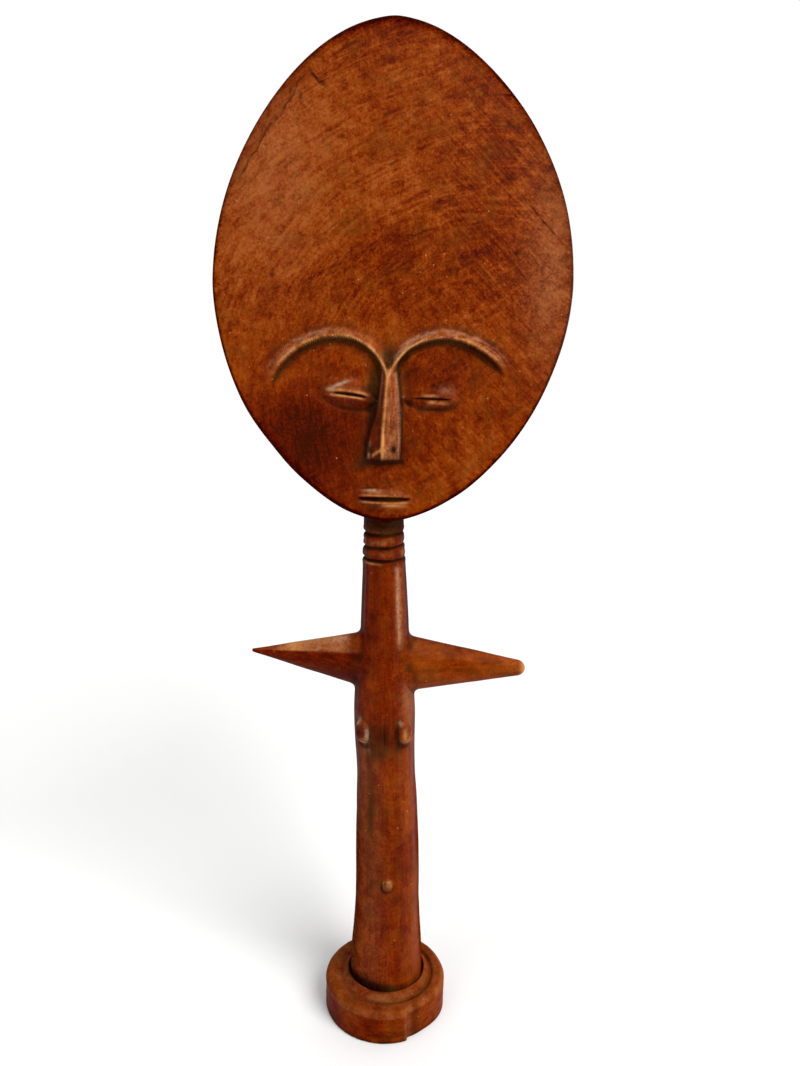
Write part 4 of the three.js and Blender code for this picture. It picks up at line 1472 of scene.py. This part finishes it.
def wood(name, grain_mm, grain_turn, brushed):
    """Reddish-brown stain: streaks along the grain, mottling, pores, worn edges, cuts darkened with dirt
    and painted shade, and painted sheen and glints.

    grain_mm is the size of a streak along x, y and z. brushed adds the crossing brush strokes,
    smears and scratches of the face.
    """
    material = bpy.data.materials.new(name)
    g = Graph(material)
    n = wood_noises(g, grain_mm, grain_turn, brushed)
    colour = worn_colour(g, n, stain_colour(g, n, brushed))
    pits = g.times(g.span(g.dots(1.4), 0.24, 0.10), g.span(g.noise((5, 5, 5)), 0.48, 0.62))
    colour = g.mix(g.times(pits, 0.65), colour, DIRT_AND_SHADE)
    dust = g.times(g.span(g.dots(3.4), 0.09, 0.04, 0.0, 0.6), g.span(n.cloud, 0.50, 0.58))
    colour = g.mix(dust, colour, WORN)
    height = g.plus(g.plus(g.times(n.grain, 0.6), 0.6, n.fine), -0.8, pits)
    if brushed:
        smears = g.noise((5, 5, 1.8), 34, detail=5.0, roughness=0.75, distortion=0.5)
        colour = g.mix(g.times(g.span(smears, 0.46, 0.34, 0.0, 0.45), n.brow_up), colour, SMEAR)
        marks, sunk = face_marks(g)
        # Painted shade on the sunk side of the crack.
        colour = g.mix(g.times(sunk, 0.35), colour, DEEP)
        colour = g.mix(g.clamp(g.times(marks, 1.3)), colour, BLACKISH)
        height = g.plus(g.plus(height, 0.5, n.strokes), -2.0, sunk)

    gloss = g.plus(g.plus(0.44, 0.25, g.painted("dirt")), -0.08, g.painted("rub"))
    bump = g.add("Bump", {"Height": height, "Strength": 0.5, "Distance": 0.15 * MM})
    for key, value in {
        "Base Color": colour,
        "Roughness": g.clamp(g.vary(gloss, n.fine, 0.3)),
        "Specular IOR Level": g.span(g.painted("dull"), 0.0, 1.0, 0.30, 0.0),
        "Specular Tint": (1.0, 0.25, 0.06, 1),
        "Normal": bump.outputs["Normal"],
    }.items():
        g.set(g.tree.nodes["Principled BSDF"], key, value)
    return material


paint_head(head)
paint_column(column)
paint_base(base)
for node, arm in arms.items():
    paint_arm(arm, node)
MATERIALS = {
    "head": wood("head_stain", (1.0, 1.0, 14), 8, True),
    "column": wood("trunk_stain", (0.9, 0.9, 24), 1, False),
    "base": wood("base_stain", (5, 5, 1.2), 0, False),
    "arm_left": wood("arm_left_stain", (16, 0.9, 0.9), -8, False),
    "arm_right": wood("arm_right_stain", (16, 0.9, 0.9), 3, False),
}
for node, piece in PIECES.items():
    piece.data.shade_smooth()
    piece.data.materials.clear()
    piece.data.materials.append(MATERIALS[node])
    piece.data.polygons.foreach_set("material_index", np.zeros(len(piece.data.polygons), np.int32))
    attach(piece, "root")
    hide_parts(node)

# ---- Floor, light and camera ----

PAPER = (0.95, 0.95, 0.945, 1)


def make_floor(radius):
    rim = [(radius * math.cos(a), radius * math.sin(a), 0) for a in full_turn(96)]
    mesh = bpy.data.meshes.new("floor")
    mesh.from_pydata(rim, [], [range(len(rim))])
    paper = bpy.data.materials.new("paper")
    g = Graph(paper)
    g.set(g.tree.nodes["Principled BSDF"], "Base Color", PAPER)
    g.set(g.tree.nodes["Principled BSDF"], "Roughness", 0.9)
    mesh.materials.append(paper)
    placed("floor", mesh)


def soft_sun(name, from_direction, spread_degrees, strength):
    lamp = bpy.data.lights.new(name, "SUN")
    lamp.angle = math.radians(spread_degrees)
    lamp.energy = strength
    placed(name, lamp).rotation_euler = Vector(from_direction).to_track_quat("Z", "Y").to_euler()


def make_world():
    """Plain white to look at. Its light comes mostly from behind the doll and from the right."""
    world = bpy.data.worlds.new("studio")
    g = Graph(world)
    place = g.add("TexCoord").outputs["Generated"]
    towards = g.add("VectorMath", {0: place, 1: (0.45, 0.89, 0)}, operation="DOT_PRODUCT")
    fade = g.span(towards.outputs["Value"], -0.2, 0.8, 0.34, 0.72)
    seen = g.add("LightPath").outputs["Is Camera Ray"]
    strength = g.add("Mix", {"Factor": seen, "A": fade, "B": 1.02}).outputs["Result"]
    g.set(g.tree.nodes["Background"], "Color", (1, 1, 1, 1))
    g.set(g.tree.nodes["Background"], "Strength", strength)
    bpy.context.scene.world = world


make_floor(40)
soft_sun("key", (0.5, -0.55, 0.66), 36, 2.75)
soft_sun("fill", (-0.6, -0.6, 0.45), 50, 0.7)
make_world()
bpy.context.scene.view_settings.view_transform = "Standard"

CAMERA_PLACE = Vector((0.0032, -0.270, 0.23714))
CAMERA_DOWN = math.radians(13)
CAMERA_ROLL = math.radians(0.8)
lens = bpy.data.cameras.new("camera")
lens.sensor_fit = "VERTICAL"
lens.sensor_height = 36
lens.lens = 29.21
camera = placed("camera", lens)
camera.matrix_world = (
    Matrix.Translation(CAMERA_PLACE)
    @ Matrix.Rotation(math.pi / 2 - CAMERA_DOWN, 4, "X")
    @ Matrix.Rotation(CAMERA_ROLL, 4, "Z")
)
bpy.context.scene.camera = camera


def corners(bounds):
    return [[float(value) for value in corner] for corner in bounds]
